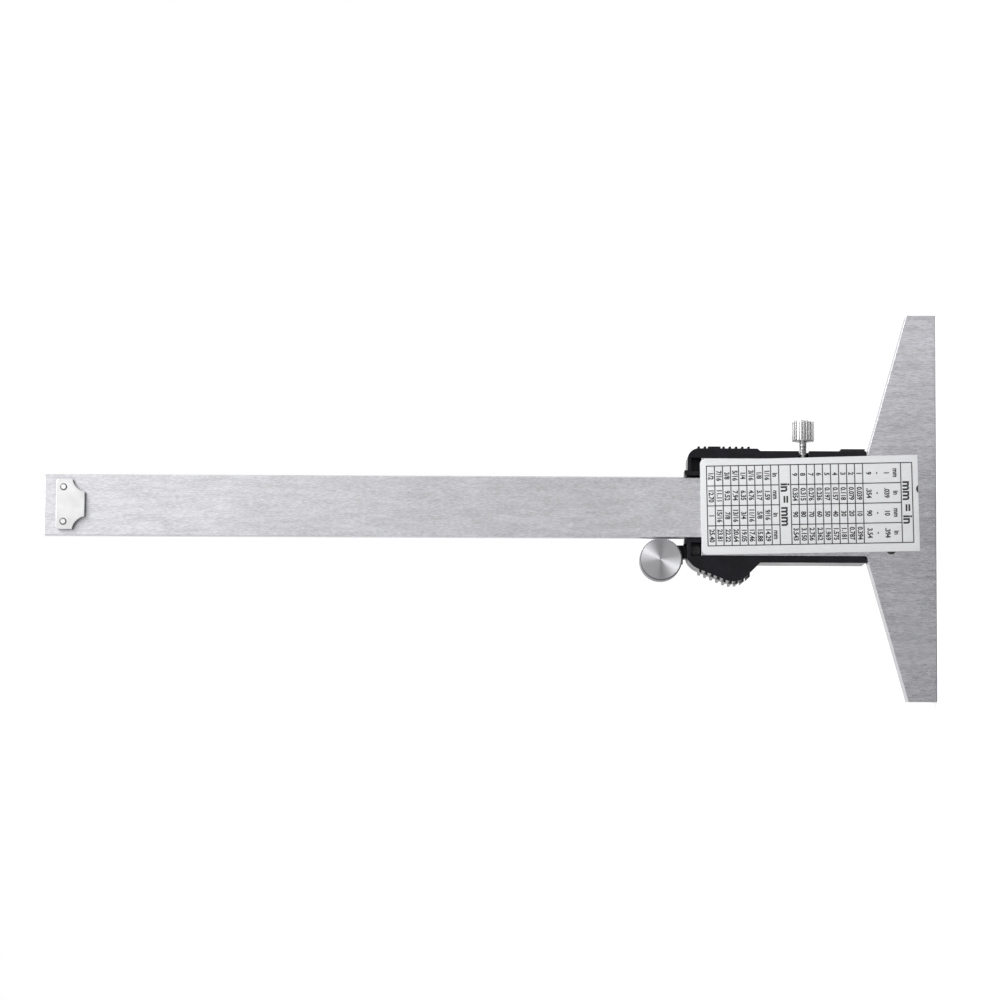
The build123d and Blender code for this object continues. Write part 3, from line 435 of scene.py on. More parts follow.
def ink(name, colour, thin):
    """Printed ink with slightly uneven cover."""
    made, tree, shader, place = new_material(name, Roughness=0.5)
    cover = full(tree, noise(tree, place, ink_cover_scale, 3.0))
    put(tree, shader.inputs["Base Color"], blend(tree, cover, colour, thin))
    return made


def settle(piece, place=None):
    """Moves a piece to its place and leaves the place in its mesh."""
    if place is not None:
        piece.matrix_world = place @ piece.matrix_world
    select_only(piece)
    bpy.ops.object.transform_apply(location=True, rotation=True, scale=True)
    return piece


def primitive(kind, **sizes):
    """A fresh primitive, alone in the selection, with its place in its mesh."""
    select_only()
    getattr(bpy.ops.mesh, f"primitive_{kind}_add")(**sizes)
    return settle(bpy.context.object)


def modified(piece, kind, **settings):
    """Adds a modifier to a piece and applies it."""
    bpy.context.view_layer.objects.active = piece
    made = piece.modifiers.new(kind.lower(), kind)
    for name, value in settings.items():
        setattr(made, name, value)
    bpy.ops.object.modifier_apply(modifier=made.name)
    return piece


def mode(name):
    """Takes the active piece into edit mode, or back to object mode."""
    bpy.ops.object.mode_set(mode=name)


def extrude(step):
    """In edit mode, extrudes the selection by this step."""
    bpy.ops.mesh.extrude_region_move(TRANSFORM_OT_translate={"value": step})


def resize(factors, centre=(0, 0, 0)):
    """In edit mode, scales the selection about this centre."""
    bpy.ops.transform.resize(value=factors, center_override=centre)


def thicken():
    """In edit mode, gives a flat print the thickness of ink, then leaves edit mode."""
    bpy.ops.mesh.select_all(action="SELECT")
    extrude((0, 0, ink_thickness))
    mode("OBJECT")


def printed_bar(x0, x1, y0, y1, count=1, step=0.0):
    """Flat printed bars on the plane of the print, the first between these corners."""
    middle = ((x0 + x1) / 2, (y0 + y1) / 2, 0)
    bar = primitive("plane", size=1, location=middle)
    mode("EDIT")
    resize((abs(x1 - x0), abs(y1 - y0), 1), middle)
    thicken()
    if count > 1:
        modified(bar, "ARRAY", count=count, use_relative_offset=False,
                 use_constant_offset=True, constant_offset_displace=(step, 0, 0))
    return bar


def printed_text(words, size, x, y, squeeze=1.0, row=None, bold=0.0):
    """Printed characters centred on a place of the print, made a mesh."""
    select_only()
    bpy.ops.object.text_add()
    text = bpy.context.object
    text.data.body = words
    text.data.size = size
    text.data.align_x = "CENTER"
    text.data.align_y = "CENTER"
    text.data.resolution_u = 3
    text.data.extrude = ink_thickness / 2
    text.data.offset = bold * size
    if row is not None:
        text.data.space_line = row / size
    bpy.ops.object.convert(target="MESH")
    text = bpy.context.object
    lie = Matrix.Translation((x, y, ink_thickness / 2)) @ Matrix.Diagonal((squeeze, 1, 1, 1))
    return settle(text, lie)


def joined(name, pieces, place=None):
    """One piece made of several, moved to its place."""
    select_only(*pieces)
    if len(pieces) > 1:
        bpy.ops.object.join()
    whole = bpy.context.object
    whole.name = name
    whole.data.name = name
    return settle(whole, place)


def belongs(piece, body, slot, material, *nodes):
    """Sets a new piece's finish and the body it moves with, and hides the nodes it shows."""
    piece.data.materials.clear()
    piece.data.materials.append(material)
    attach(piece, body)
    if nodes:
        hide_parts(*nodes)


def facing(right, up, place):
    """The place of a print that reads towards right, with its tops towards up."""
    out = Vector(right).cross(Vector(up))
    turned = Matrix((right, up, out)).transposed().to_4x4()
    return Matrix.Translation(place) @ turned


def figure(words, reach, row, share=1.0):
    """Characters on the film this far from its zero."""
    return printed_text(words, figure_size * share, zero_mark + reach, -row)


film_finish = moulded_plastic("scale_film", film_black, film_worn, rough=0.32,
                              scale=9000.0, depth=1e-6)
dress(film_finish, "scale_overlay")
dress(moulded_plastic("scale_board", board_dark, board_light, rough=0.4), "scale_strip")
marks = []
start = zero_mark - mark_width / 2
for every, count, length in millimetre_marks:
    low = -film_edge + edge_gap
    marks.append(printed_bar(start, start + mark_width, low, low + length, count, every * mm))
for part, count, length in inch_marks:
    high = film_edge - edge_gap
    marks.append(printed_bar(start, start + mark_width, high - length, high, count, inch / part))
for tens in range(1, 15):
    marks.append(figure(str(tens * 10), tens * 10 * mm, millimetre_row))
marks.append(figure("150", last_figure, millimetre_row))
marks.append(figure("0", zero_figure, millimetre_row))
marks.append(figure("mm", unit_figure, millimetre_row, unit_share))
for whole in range(1, 6):
    marks.append(figure(str(whole), whole * inch, inch_row, inch_share))
marks.append(figure("in", unit_figure, inch_row, unit_share))
on_film = facing(*up_the_rod, (0, film_low.y, 0))
scale_print = joined("scale_print", marks, on_film)
belongs(scale_print, "rod", "scale_film", ink("white_ink", grey(0.75), grey(0.6)))

# -------------------------------------------------------------------------- stop plate
# A small polished steel plate on the rod's tail stops the slider. Two steel rivets hold
# it, and each shows as a low dome in a thin ring of painted shade. The plate's sides are
# painted dark as shade.

polish_dark, polish_light = grey(0.64), grey(0.72, 1.01)
rivet_x, rivet_z = 4.5 * mm, 225.9 * mm
rivet_head_radius, rivet_ring = 0.85 * mm, 0.16 * mm
ring_shade, side_shade = 0.85, 0.75
side_from, side_to = 0.05 * mm, 0.2 * mm
plate_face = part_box("stop_plate")[1].y
polished_smudges = 160.0
hairs_across, hairs_along = 900.0, 5200.0
cloud_scale = 420.0
painted_shade_colour = grey(0.03)


def polished_steel(name, dark, light, rough, edge=0.25 * mm):
    """Steel polished on a wheel: fine hairlines all ways, smudges and soft edges."""
    made, tree, shader, place = new_material(name, Metallic=1.0)
    wear = use_group(tree, wear_tree, place, Edge_Radius=edge, Smudge_Scale=polished_smudges)
    hairs = noise(tree, stretched(tree, place, hairs_across, hairs_along), 1.0, 3.0, 0.6)
    cloud = full(tree, noise(tree, place, cloud_scale, 3.0))
    put(tree, shader.inputs["Base Color"], blend(tree, cloud, dark, light))
    roughened(tree, shader, rough, (hairs, 0.1), (wear["Smudge"], 0.08))
    bumped(tree, shader, hairs, 1.2e-6, wear["Normal"])
    return made


def oiled(material, share):
    """Painted shade over a finish, by a share that changes over the surface."""
    tree = material.node_tree
    shader = tree.nodes["Principled BSDF"]
    clean = shader.inputs["Base Color"].links[0].from_socket
    put(tree, shader.inputs["Base Color"], blend(tree, share, clean, painted_shade_colour))


def from_line(tree, first, first_middle, second, second_middle):
    """Distance from a line, in the two directions across it."""
    aside = maths(tree, "SUBTRACT", first, first_middle)
    above = maths(tree, "SUBTRACT", second, second_middle)
    squares = maths(tree, "ADD", times(tree, aside, aside), times(tree, above, above))
    return maths(tree, "SQRT", squares)


def coordinates(tree):
    """The place on the piece as three separate values."""
    parts = add_node(tree, "SeparateXYZ")
    put(tree, parts.inputs[0], add_node(tree, "TexCoord").outputs["Object"])
    return parts.outputs


def ring_at_rivets(tree, clean_reach, dark_reach):
    """Painted shade that grows from one distance to another from the nearer rivet's axis."""
    at = coordinates(tree)
    reach = from_line(tree, maths(tree, "ABSOLUTE", at["X"]), rivet_x, at["Z"], rivet_z)
    return remap(tree, reach, clean_reach, dark_reach, 0.0, ring_shade)


stop_polish = polished_steel("stop_polish", polish_dark, polish_light, rough=0.24)
tree = stop_polish.node_tree
# painted shade: a dark ring round each rivet head, and dark sides on the plate
round_rivet = ring_at_rivets(tree, rivet_head_radius + rivet_ring, rivet_head_radius)
on_sides = remap(tree, coordinates(tree)["Y"], plate_face - side_from, plate_face - side_to,
                 0.0, side_shade)
oiled(stop_polish, maths(tree, "MAXIMUM", round_rivet, on_sides))
dress(stop_polish, "stop_plate")
rivet_steel = polished_steel("rivet_steel", polish_dark, polish_light, rough=0.28)
# painted shade round the rim of each rivet head
round_rivet = ring_at_rivets(rivet_steel.node_tree, rivet_head_radius - rivet_ring * 2,
                             rivet_head_radius - rivet_ring)
oiled(rivet_steel, round_rivet)
dress(rivet_steel, "stop_plate_rivets")

# ----------------------------------------------------------- measuring base and frame
# Base and slider frame are one piece of stainless steel, milled and then brushed along
# the rod's direction. The measuring face, ground and lapped on the real gauge, gets the same
# brushed finish here.

base_steel = brushed_steel("base_steel", grey(0.355, 1.05), grey(0.54, 1.07), rough=0.18,
                           across=4800.0, along=700.0, depth=3.0e-6, pull=0.1)
dress(base_steel, "measuring_base")

# ------------------------------------------------------------------- printed back plate
# A plate of silvery printed film is stuck on the back of the frame, a little askew. Its
# black grid holds a plain table of millimetres and inches in place of the real words.

plate_wide, plate_long, plate_thick = 25.0 * mm, 56.2 * mm, 0.28 * mm
plate_centre = Vector((-0.6, 4.3, 32.6)) * mm
plate_askew = math.radians(1.3)
plate_corner, plate_edge = 1.5 * mm, 0.07 * mm
grid_shift = -0.15 * mm
grid_top = plate_long / 2 - 1.65 * mm
row_high = 2.07 * mm
row_count = 9
heading_gap = 3.02 * mm
heading_high = 9.8 * mm
title_high = 2.9 * mm
heading_row = 2.3 * mm
column_wide = 5.17 * mm
column_count = 4
line_width = 0.25 * mm
digit_bold = 0.036
title_size, title_bold = 3.3 * mm, 0.03
edge_hollow, hollow_place = 0.32 * mm, 12.8 * mm
# the half disc of black ink at the plate's edge is painted shade, where a hole would show dark
hole_shade_radius, hole_shade_reach, hole_shade_x, edge_trim = 1.15 * mm, 0.55 * mm, -3.6 * mm, 0.08 * mm
digit_size = 1.8 * mm
digit_squeeze = 0.84
silver_dark, silver_light = (0.84, 0.845, 0.86, 1), (0.9, 0.905, 0.92, 1)
silver_smudged, silver_worn = (0.78, 0.785, 0.8, 1), (0.5, 0.5, 0.52, 1)
fibre_across, fibre_along = 2600.0, 500.0
silver_rough = (0.38, 0.5)
near = 0.01 * mm


def pick(piece, kind, test):
    """In edit mode, selects only the faces or corners that pass the test."""
    bpy.ops.mesh.select_mode(type=kind)
    bpy.ops.mesh.select_all(action="DESELECT")
    mesh = bmesh.from_edit_mesh(piece.data)
    if kind == "FACE":
        for face in mesh.faces:
            face.select_set(test(face.calc_center_median(), face.normal))
    else:
        for corner in mesh.verts:
            corner.select_set(test(corner.co))
    mesh.select_flush_mode()
    bmesh.update_edit_mesh(piece.data)


plate = primitive("cube", size=1)
mode("EDIT")
resize((plate_wide, plate_thick, plate_long))
bpy.ops.transform.translate(value=(0, plate_thick / 2, 0))
bpy.ops.mesh.select_mode(type="EDGE")
bpy.ops.mesh.select_all(action="DESELECT")
mesh = bmesh.from_edit_mesh(plate.data)
for edge in mesh.edges:
    ends = [corner.co for corner in edge.verts]
    edge.select_set(all(end.z > 0 for end in ends) and abs(ends[0].y - ends[1].y) > plate_thick / 2)
bmesh.update_edit_mesh(plate.data)
bpy.ops.mesh.bevel(offset=plate_corner, segments=8, affect="EDGES")
# one long side was trimmed a little hollow
bpy.ops.mesh.select_all(action="SELECT")
bpy.ops.mesh.bisect(plane_co=(0, 0, hollow_place), plane_no=(0, 0, 1))
pick(plate, "VERT", lambda corner: corner.x < 0 and abs(corner.z - hollow_place) < near)
bpy.ops.transform.translate(value=(edge_hollow, 0, 0))
mode("OBJECT")
modified(plate, "BEVEL", width=plate_edge, segments=2, limit_method="ANGLE",
         angle_limit=math.radians(30))
bpy.ops.object.shade_smooth_by_angle(angle=math.radians(40))
askew = Matrix.Translation(plate_centre) @ Matrix.Rotation(plate_askew, 4, "Y")
back_plate = joined("back_plate", [plate], askew)
silver_film, tree, shader, place = new_material("label_silver", Coat_Weight=0.25,
                                                Coat_Roughness=0.2)
wear = use_group(tree, wear_tree, place, Edge_Radius=0.25 * mm, Smudge_Scale=110.0)
fibre = noise(tree, stretched(tree, place, fibre_across, fibre_along), 1.0, 3.0)
tone = blend(tree, full(tree, fibre), silver_dark, silver_light)
tone = tinted(tree, tone, wear["Smudge"], 0.25, silver_smudged)
tone = tinted(tree, tone, wear["Edge"], 0.4, silver_worn)
put(tree, shader.inputs["Base Color"], tone)
put(tree, shader.inputs["Roughness"], remap(tree, wear["Smudge"], 0.0, 1.0, *silver_rough))
bumped(tree, shader, fibre, 1.5e-6, wear["Normal"])
belongs(back_plate, "slider", "label_silver", silver_film, "back_label")

left = grid_shift - column_wide * column_count / 2
right = grid_shift + column_wide * column_count / 2
columns = [left + column_wide * number for number in range(column_count + 1)]
block_high = row_high * row_count
block_ends = [grid_top]
for high in (block_high, heading_gap, block_high, heading_high, title_high):
    block_ends.append(block_ends[-1] - high)
rows = [top - row_high * number for top in (block_ends[0], block_ends[2])
        for number in range(row_count + 1)] + block_ends[4:]
half = line_width / 2
# the print reads towards +X with its tops towards -Z, so up the print is down the plate
printed = [printed_bar(left - half, right + half, -row - half, -row + half) for row in rows]
for number, column in enumerate(columns):
    spans = [(block_ends[0], block_ends[1]), (block_ends[2], block_ends[4])]
    if number in (0, column_count):
        spans = [(block_ends[0], block_ends[5])]
    for high, low in spans:
        printed.append(printed_bar(column - half, column + half, -high, -low))

sixteenths = [str(Fraction(number, 16)) for number in range(1, 17)]
upper_columns = [
    [str(number) for number in range(1, 10)],
    [f"{number * mm / inch:.3f}" for number in range(1, 10)],
    [str(number * 10) for number in range(1, 10)],
    [f"{number * 10 * mm / inch:.3f}" for number in range(1, 10)],
]
lower_columns = [
    ["in"] + sixteenths[:8],
    ["mm"] + [f"{number / 16 * inch / mm:.2f}" for number in range(1, 9)],
    ["in"] + sixteenths[8:],
    ["mm"] + [f"{number / 16 * inch / mm:.2f}" for number in range(9, 17)],
]
headings = ["mm\n1\n-\n9", "in\n.039\n-\n.354", "mm\n10\n-\n90", "in\n.394\n-\n3.54"]
for number in range(column_count):
    middle = (columns[number] + columns[number + 1]) / 2
    blocks = (("\n".join(upper_columns[number]), block_ends[2] + block_ends[3], row_high),
              ("\n".join(lower_columns[number]), block_ends[0] + block_ends[1], row_high),
              (headings[number], block_ends[3] + block_ends[4], heading_row))
    for words, ends, row in blocks:
        printed.append(printed_text(words, digit_size, middle, -ends / 2,
                                    digit_squeeze, row, digit_bold))
titles = (("mm = in", block_ends[4] + block_ends[5]), ("in = mm", block_ends[1] + block_ends[2]))
for words, ends in titles:
    printed.append(printed_text(words, title_size, grid_shift, -ends / 2, bold=title_bold))
# painted shade of a hole at the plate's edge: a black half disc of ink that the trim cuts through
dot = primitive("circle", vertices=48, radius=hole_shade_radius, fill_type="NGON")
mode("EDIT")
bpy.ops.mesh.select_all(action="SELECT")
cut = hole_shade_reach - hole_shade_radius
bpy.ops.mesh.bisect(plane_co=(0, cut, 0), plane_no=(0, 1, 0), clear_outer=True)
thicken()
hole_shade_place = (hole_shade_x, plate_long / 2 - edge_trim - cut, 0)
printed.append(settle(dot, Matrix.Translation(hole_shade_place)))
on_plate = askew @ facing((1, 0, 0), (0, 0, -1), (0, plate_thick, 0))
plate_print = joined("back_plate_print", printed, on_plate)
black_ink = ink("black_ink", grey(0.008), grey(0.02))
belongs(plate_print, "slider", "label_silver", black_ink, "back_label")

# -------------------------------------------------------- housing, port cover and bracket
# The unit's rear housing, the cover of the data port and the wheel's arm are moulded in
# black plastic with a fine spark-eroded texture, shiny where fingers rub the ribs.

black_dark, black_light = (0.0036, 0.0034, 0.005, 1), (0.016, 0.0155, 0.022, 1)
port_dark, port_light = (0.008, 0.008, 0.009, 1), (0.03, 0.03, 0.033, 1)

black_plastic = moulded_plastic("black_plastic", black_dark, black_light, rough=0.3, gloss=0.2)
dress(black_plastic, "housing", "wheel_bracket")
port_plastic = moulded_plastic("port_plastic", port_dark, port_light, rough=0.4, gloss=0.3)
dress(port_plastic, "data_port_cover")

# --------------------------------------------------------- front shell and battery cover
# The front shell carries the display and the buttons. It is moulded and painted silver,
# and small marks printed beside the buttons say what they do.

shell_dark, shell_light = (0.8, 0.805, 0.82, 1), (0.88, 0.885, 0.9, 1)
shell_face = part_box("front_bezel")[0].y
button_words = {"power_button": "ON/OFF", "zero_button": "ZERO", "unit_button": "mm/in"}
legend_row = 11.9 * mm
legend_size = 1.7 * mm

shell_paint = moulded_plastic("light_plastic", shell_dark, shell_light, rough=0.36,
                              scale=3800.0, depth=3e-6)
dress(shell_paint, "front_bezel", "battery_cover")
legends = []
for name, words in button_words.items():
    low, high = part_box(name)
    legends.append(printed_text(words, legend_size, (low.z + high.z) / 2, -legend_row))
on_shell = facing(*up_the_rod, (0, shell_face, 0))
shell_print = joined("shell_print", legends, on_shell)
belongs(shell_print, "slider", "light_plastic", ink("grey_ink", grey(0.05), grey(0.09)))

# ---------------------------------------------------------------------------- display
# A grey-green liquid crystal cell sits on a white carrier over two rubber connectors,
# behind a clear window glued into the shell. It shows a reading of zero.

glass_low, glass_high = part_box("lcd_glass")
digit_wide, digit_high = 2.6 * mm, 6.4 * mm
stroke = 0.66 * mm
digit_step = 3.7 * mm
unit_size = 2.0 * mm
glass_z = (glass_low.z + glass_high.z) / 2
glass_x = (glass_low.x + glass_high.x) / 2
segment_gap = 0.1 * mm
digit_slant = 0.08
digit_row, first_digit = -0.3 * mm, -2.6
point_half, point_low, point_high = 0.35 * mm, 0.3 * mm, 0.4 * mm
lit_dark, lit_thin = (0.006, 0.007, 0.009, 1), (0.012, 0.013, 0.016, 1)
unlit_dark, unlit_thin = (0.385, 0.43, 0.365, 1), (0.4, 0.45, 0.38, 1)
cell_green, cell_sheen = (0.4, 0.45, 0.38, 1), (0.44, 0.49, 0.41, 1)
sheen_scale, sheen_span, cell_rough = 320.0, (0.35, 0.65), (0.22, 0.3)
window_clear, window_hazy = (0.95, 0.96, 0.96, 1), grey(0.98)
haze_scale, haze_span, window_rough = 900.0, (0.4, 0.75), (0.01, 0.06)
carrier_dark, carrier_light = (0.66, 0.66, 0.64, 1), (0.76, 0.76, 0.74, 1)
rubber_dark, rubber_light = grey(0.02), (0.3, 0.3, 0.28, 1)


def segment(length, x, y, upright):
    """One bar of a digit with pointed ends."""
    bar = primitive("circle", vertices=6, radius=stroke / 2, fill_type="NGON")
    mode("EDIT")
    for side in (-1, 1):
        pick(bar, "VERT", lambda corner: corner.y * side > stroke / 8)
        bpy.ops.transform.translate(value=(0, side * (length - stroke) / 2, 0))
    thicken()
    turned = Matrix.Identity(4) if upright else Matrix.Rotation(math.pi / 2, 4, "Z")
    return settle(bar, Matrix.Translation((x, y, 0)) @ turned)


def digit(lit, x, y):
    """The bars of one digit named by their letters, a at the top and g in the middle."""
    tall = digit_high / 2 - segment_gap
    wide = digit_wide - segment_gap
    up, out = digit_high / 2, digit_wide / 2
    bars = {
        "a": (wide, 0, up, False), "g": (wide, 0, 0, False), "d": (wide, 0, -up, False),
        "f": (tall, -out, up / 2, True), "b": (tall, out, up / 2, True),
        "e": (tall, -out, -up / 2, True), "c": (tall, out, -up / 2, True),
    }
    made = []
    for letter in lit:
        length, right, high, upright = bars[letter]
        made.append(segment(length, x + right + digit_slant * (y + high), y + high, upright))
    return made


places = [(number + first_digit) * digit_step for number in range(5)]
lit, unlit = [], []
for number, place_x in enumerate(places):
    wanted = "abcdef" if number >= 2 else ""
    lit += digit(wanted, place_x, digit_row)
    unlit += digit([letter for letter in "abcdefg" if letter not in wanted], place_x, digit_row)
point_place = places[2] + digit_step / 2
digit_foot = digit_row - digit_high / 2
lit.append(printed_bar(point_place - point_half, point_place + point_half,
                       digit_foot - point_low, digit_foot + point_high))
unit_place = places[4] + digit_step + unit_size / 4
lit.append(printed_text("mm", unit_size, unit_place, digit_foot + point_high))
on_glass = facing(*up_the_rod, (glass_x, glass_low.y, glass_z))
reading = joined("display_reading", lit, on_glass)
belongs(reading, "slider", "display_glass", ink("lit_segment", lit_dark, lit_thin))
resting = joined("display_unlit", unlit, on_glass)
belongs(resting, "slider", "display_glass", ink("unlit_segment", unlit_dark, unlit_thin))
display_glass, tree, shader, place = new_material("display_glass", Coat_Weight=0.4)
sheen = remap(tree, noise(tree, place, sheen_scale), *sheen_span)
put(tree, shader.inputs["Base Color"], blend(tree, sheen, cell_green, cell_sheen))
put(tree, shader.inputs["Roughness"], remap(tree, sheen, 0.0, 1.0, *cell_rough))
dress(display_glass, "lcd_glass")
clear_window, tree, shader, place = new_material("clear_window", Transmission_Weight=1.0, IOR=1.49)
haze = noise(tree, place, haze_scale, 4.0)
put(tree, shader.inputs["Base Color"], blend(tree, haze, window_clear, window_hazy))
put(tree, shader.inputs["Roughness"], remap(tree, haze, *haze_span, *window_rough))
dress(clear_window, "lcd_window")
dress(moulded_plastic("white_plastic", carrier_dark, carrier_light, rough=0.45), "lcd_carrier")
dress(moulded_plastic("connector_rubber", rubber_dark, rubber_light, rough=0.7), "lcd_connectors")

# ---------------------------------------------------------------- board, cell and contacts
# A green board with one chip carries three sprung domes, the cell's two contacts and the
# gold strips of the data port. The coin cell is a nickel-plated steel can.

gold_dark, gold_light = (0.7, 0.48, 0.16, 1), (0.8, 0.58, 0.22, 1)

board_green = moulded_plastic("board_green", board_dark, board_light, rough=0.35, scale=2600.0)
dress(board_green, "circuit_board")
dress(moulded_plastic("chip_epoxy", grey(0.01), grey(0.03), rough=0.3), "signal_chip")
contact_metal = polished_steel("contact_metal", grey(0.6, 0.98), grey(0.72, 0.98), rough=0.25,
                               edge=0.08 * mm)
dress(contact_metal, "button_domes", "battery_contact_back", "battery_contact_side")
gold = polished_steel("gold_contact", gold_dark, gold_light, rough=0.25, edge=0.05 * mm)
dress(gold, "data_socket")
dress(polished_steel("cell_steel", grey(0.58), grey(0.7), rough=0.24), "battery")

# ----------------------------------------------------------------------------- buttons
# Three round buttons are moulded in dark blue-grey plastic and stand proud of the shell.
# Their stems rest on the domes of the board, which push them back.

button_dark, button_light = (0.012, 0.02, 0.05, 1), (0.03, 0.045, 0.09, 1)

button_plastic = moulded_plastic("button_plastic", button_dark, button_light, rough=0.35,
                                 scale=4200.0, depth=3e-6)
dress(button_plastic, *button_words)

# -------------------------------------------------------------------- screws and gib strip
# Blackened steel screws hold housing, board and bracket. A brass strip beside the rod is
# set by two grub screws.

brass_dark, brass_light = (0.5, 0.34, 0.12, 1), (0.66, 0.48, 0.2, 1)

screw_steel = polished_steel("dark_screw", grey(0.03), grey(0.07), rough=0.35, edge=0.1 * mm)
dress(screw_steel, "housing_screws", "board_screws", "bracket_screw", "gib_screws")
brass = brushed_steel("brass", brass_dark, brass_light, rough=0.3, across=3000.0, along=300.0,
                      depth=2e-6)
dress(brass, "gib_strip", "lock_pad")

# -------------------------------------------------------------------------- thumb wheel
# The wheel is turned from stainless steel. Its face keeps the fine rings of the lathe,
# which throw a bright fan of light, its rim is cut with straight grooves that carry
# painted shade, and it turns on a headed steel axle.

wheel_centre = Vector((13.55, 0.0, 70.9)) * mm
wheel_radius, wheel_face_radius = 5.5 * mm, 5.15 * mm
wheel_back, wheel_front = 3.2 * mm, -5.8 * mm
wheel_chamfer = 0.3 * mm
groove_count, groove_depth = 60, 0.28 * mm
centre_radius, centre_depth = 0.3 * mm, 0.18 * mm
turned_edge, turned_smudges = 0.12 * mm, 260.0
ring_pull = 0.95
groove_share = 0.1
groove_shade = 0.95
face_end, rim_start = 0.02 * mm, 0.05 * mm


def turned_steel(name, dark, light, rough, centre, axis, ring_pitch):
    """Turned steel: fine rings round an axis that spread the light in a fan."""
    made, tree, shader, place = new_material(name, Metallic=1.0, Anisotropic=ring_pull,
                                             Anisotropic_Rotation=grain_turn)
    wear = use_group(tree, wear_tree, place, Edge_Radius=turned_edge, Smudge_Scale=turned_smudges)
    outward = vector_maths(tree, "SUBTRACT", place, centre)
    outward = vector_maths(tree, "MULTIPLY", outward, [0.0 if part else 1.0 for part in axis])
    around = add_node(tree, "VectorTransform", vector_type="VECTOR",
                      convert_from="OBJECT", convert_to="WORLD")
    put(tree, around.inputs[0], vector_maths(tree, "CROSS_PRODUCT", outward, axis))
    put(tree, shader.inputs["Tangent"], vector_maths(tree, "NORMALIZE", around.outputs[0]))
    ring_place = add_node(tree, "CombineXYZ")
    put(tree, ring_place.inputs["X"], vector_maths(tree, "LENGTH", outward, result="Value"))
    rings = noise(tree, ring_place.outputs[0], 1.0 / ring_pitch, 3.0, 0.7)
    put(tree, shader.inputs["Base Color"], blend(tree, full(tree, rings), dark, light))
    roughened(tree, shader, rough, (rings, 0.12), (wear["Smudge"], 0.05))
    bumped(tree, shader, rings, 1.5e-6, wear["Normal"])
    return made


def end_disc(piece, side, axis, reach):
    """In edit mode, selects the flat end of a round piece."""
    def flat_end(middle, normal):
        return normal[axis] * side > 0.99 and abs(middle[axis] - reach) < near
    pick(piece, "FACE", flat_end)


wheel = primitive("cylinder", vertices=groove_count * 4, radius=wheel_radius,
                  depth=wheel_back - wheel_front - 2 * wheel_chamfer, rotation=(math.pi / 2, 0, 0))
reach = (wheel_back - wheel_front) / 2 - wheel_chamfer
mode("EDIT")
for side in (1, -1):
    end_disc(wheel, side, 1, side * reach)
    extrude((0, side * wheel_chamfer, 0))
    narrow = wheel_face_radius / wheel_radius
    resize((narrow, 1, narrow), (0, side * reach, 0))
    end_disc(wheel, side, 1, side * (reach + wheel_chamfer))
    bpy.ops.mesh.inset(thickness=wheel_face_radius - centre_radius)
    bpy.ops.mesh.inset(thickness=centre_radius * 0.7, depth=-centre_depth)


def in_groove(corner):
    """Whether a corner of the wheel's rim is the root of a groove."""
    around = math.atan2(corner.z, corner.x) / math.tau * groove_count
    rim = math.hypot(corner.x, corner.z) > wheel_radius - rim_start
    return rim and abs(around - round(around)) < groove_share


pick(wheel, "VERT", in_groove)
narrow = 1 - groove_depth / wheel_radius
resize((narrow, 1, narrow))
mode("OBJECT")
bpy.ops.object.shade_smooth_by_angle(angle=math.radians(25))
middle = Vector((0, (wheel_back + wheel_front) / 2, 0))
thumb_wheel = joined("thumb_wheel_turned", [wheel], Matrix.Translation(wheel_centre + middle))
wheel_steel = turned_steel("turned_steel", grey(0.3, 1.03), grey(0.48, 1.04), rough=0.34,
                           centre=wheel_centre, axis=(0, 1, 0), ring_pitch=0.09 * mm)
tree = wheel_steel.node_tree
at = coordinates(tree)
reach = from_line(tree, at["X"], wheel_centre.x, at["Z"], wheel_centre.z)
groove_floor = wheel_radius - groove_depth
# painted shade in the grooves of the rim, darker towards their roots
in_grooves = remap(tree, reach, groove_floor + groove_depth * 0.7,
                   groove_floor + groove_depth * 0.3, 0.0, groove_shade)
on_rim = remap(tree, reach, wheel_face_radius + face_end, wheel_face_radius + rim_start)
oiled(wheel_steel, times(tree, in_grooves, on_rim))
belongs(thumb_wheel, "wheel", "turned_steel", wheel_steel, "thumb_wheel")
dress(wheel_steel, "wheel_axle")

# -------------------------------------------------------------------------- lock screw
# The lock screw is turned from bright steel. Twenty-four flutes with rounded ends give
# the fingers a grip, and a fine thread runs down its stem to the brass pad. Painted shade
# darkens the flutes and the roots of the thread.

screw_axis = Vector((0.0, 0.0, 34.0)) * mm
head_near, head_far = -17.35 * mm, -22.85 * mm
head_radius, flute_depth, flute_count = 2.98 * mm, 0.26 * mm, 24
head_round = 0.45 * mm
stem_end, stem_radius = -10.53 * mm, 0.99 * mm
thread_depth, thread_pitch = 0.13 * mm, 0.4 * mm
neck_radius = 0.92 * mm
round_steps = 4
flute_from, flute_to, flute_run = 0.3, 0.7, 0.8
flute_shade, root_shade = 0.75, 0.85
stem_start = 0.05 * mm

head = primitive("cylinder", vertices=flute_count * 8, radius=head_radius,
                 depth=head_near - head_far - 2 * head_round, rotation=(0, math.pi / 2, 0))
reach = (head_near - head_far) / 2 - head_round
mode("EDIT")
for side in (1, -1):
    for part in range(1, round_steps + 1):
        turn = math.pi / 2 * part / round_steps
        before = math.pi / 2 * (part - 1) / round_steps
        at = reach + head_round * math.sin(before)
        end_disc(head, side, 0, side * at)
        rise = head_round * (math.sin(turn) - math.sin(before))
        wide_now = head_radius - head_round * (1 - math.cos(turn))
        wide_before = head_radius - head_round * (1 - math.cos(before))
        extrude((side * rise, 0, 0))
        narrow = wide_now / wide_before
        resize((1, narrow, narrow), (side * at, 0, 0))


def in_flute(corner):
    """Whether a corner of the head's rim lies in a flute."""
    around = (math.atan2(corner.z, corner.y) / math.tau * flute_count) % 1
    rim = math.hypot(corner.y, corner.z) > head_radius - head_round * flute_run
    return rim and flute_from < around < flute_to


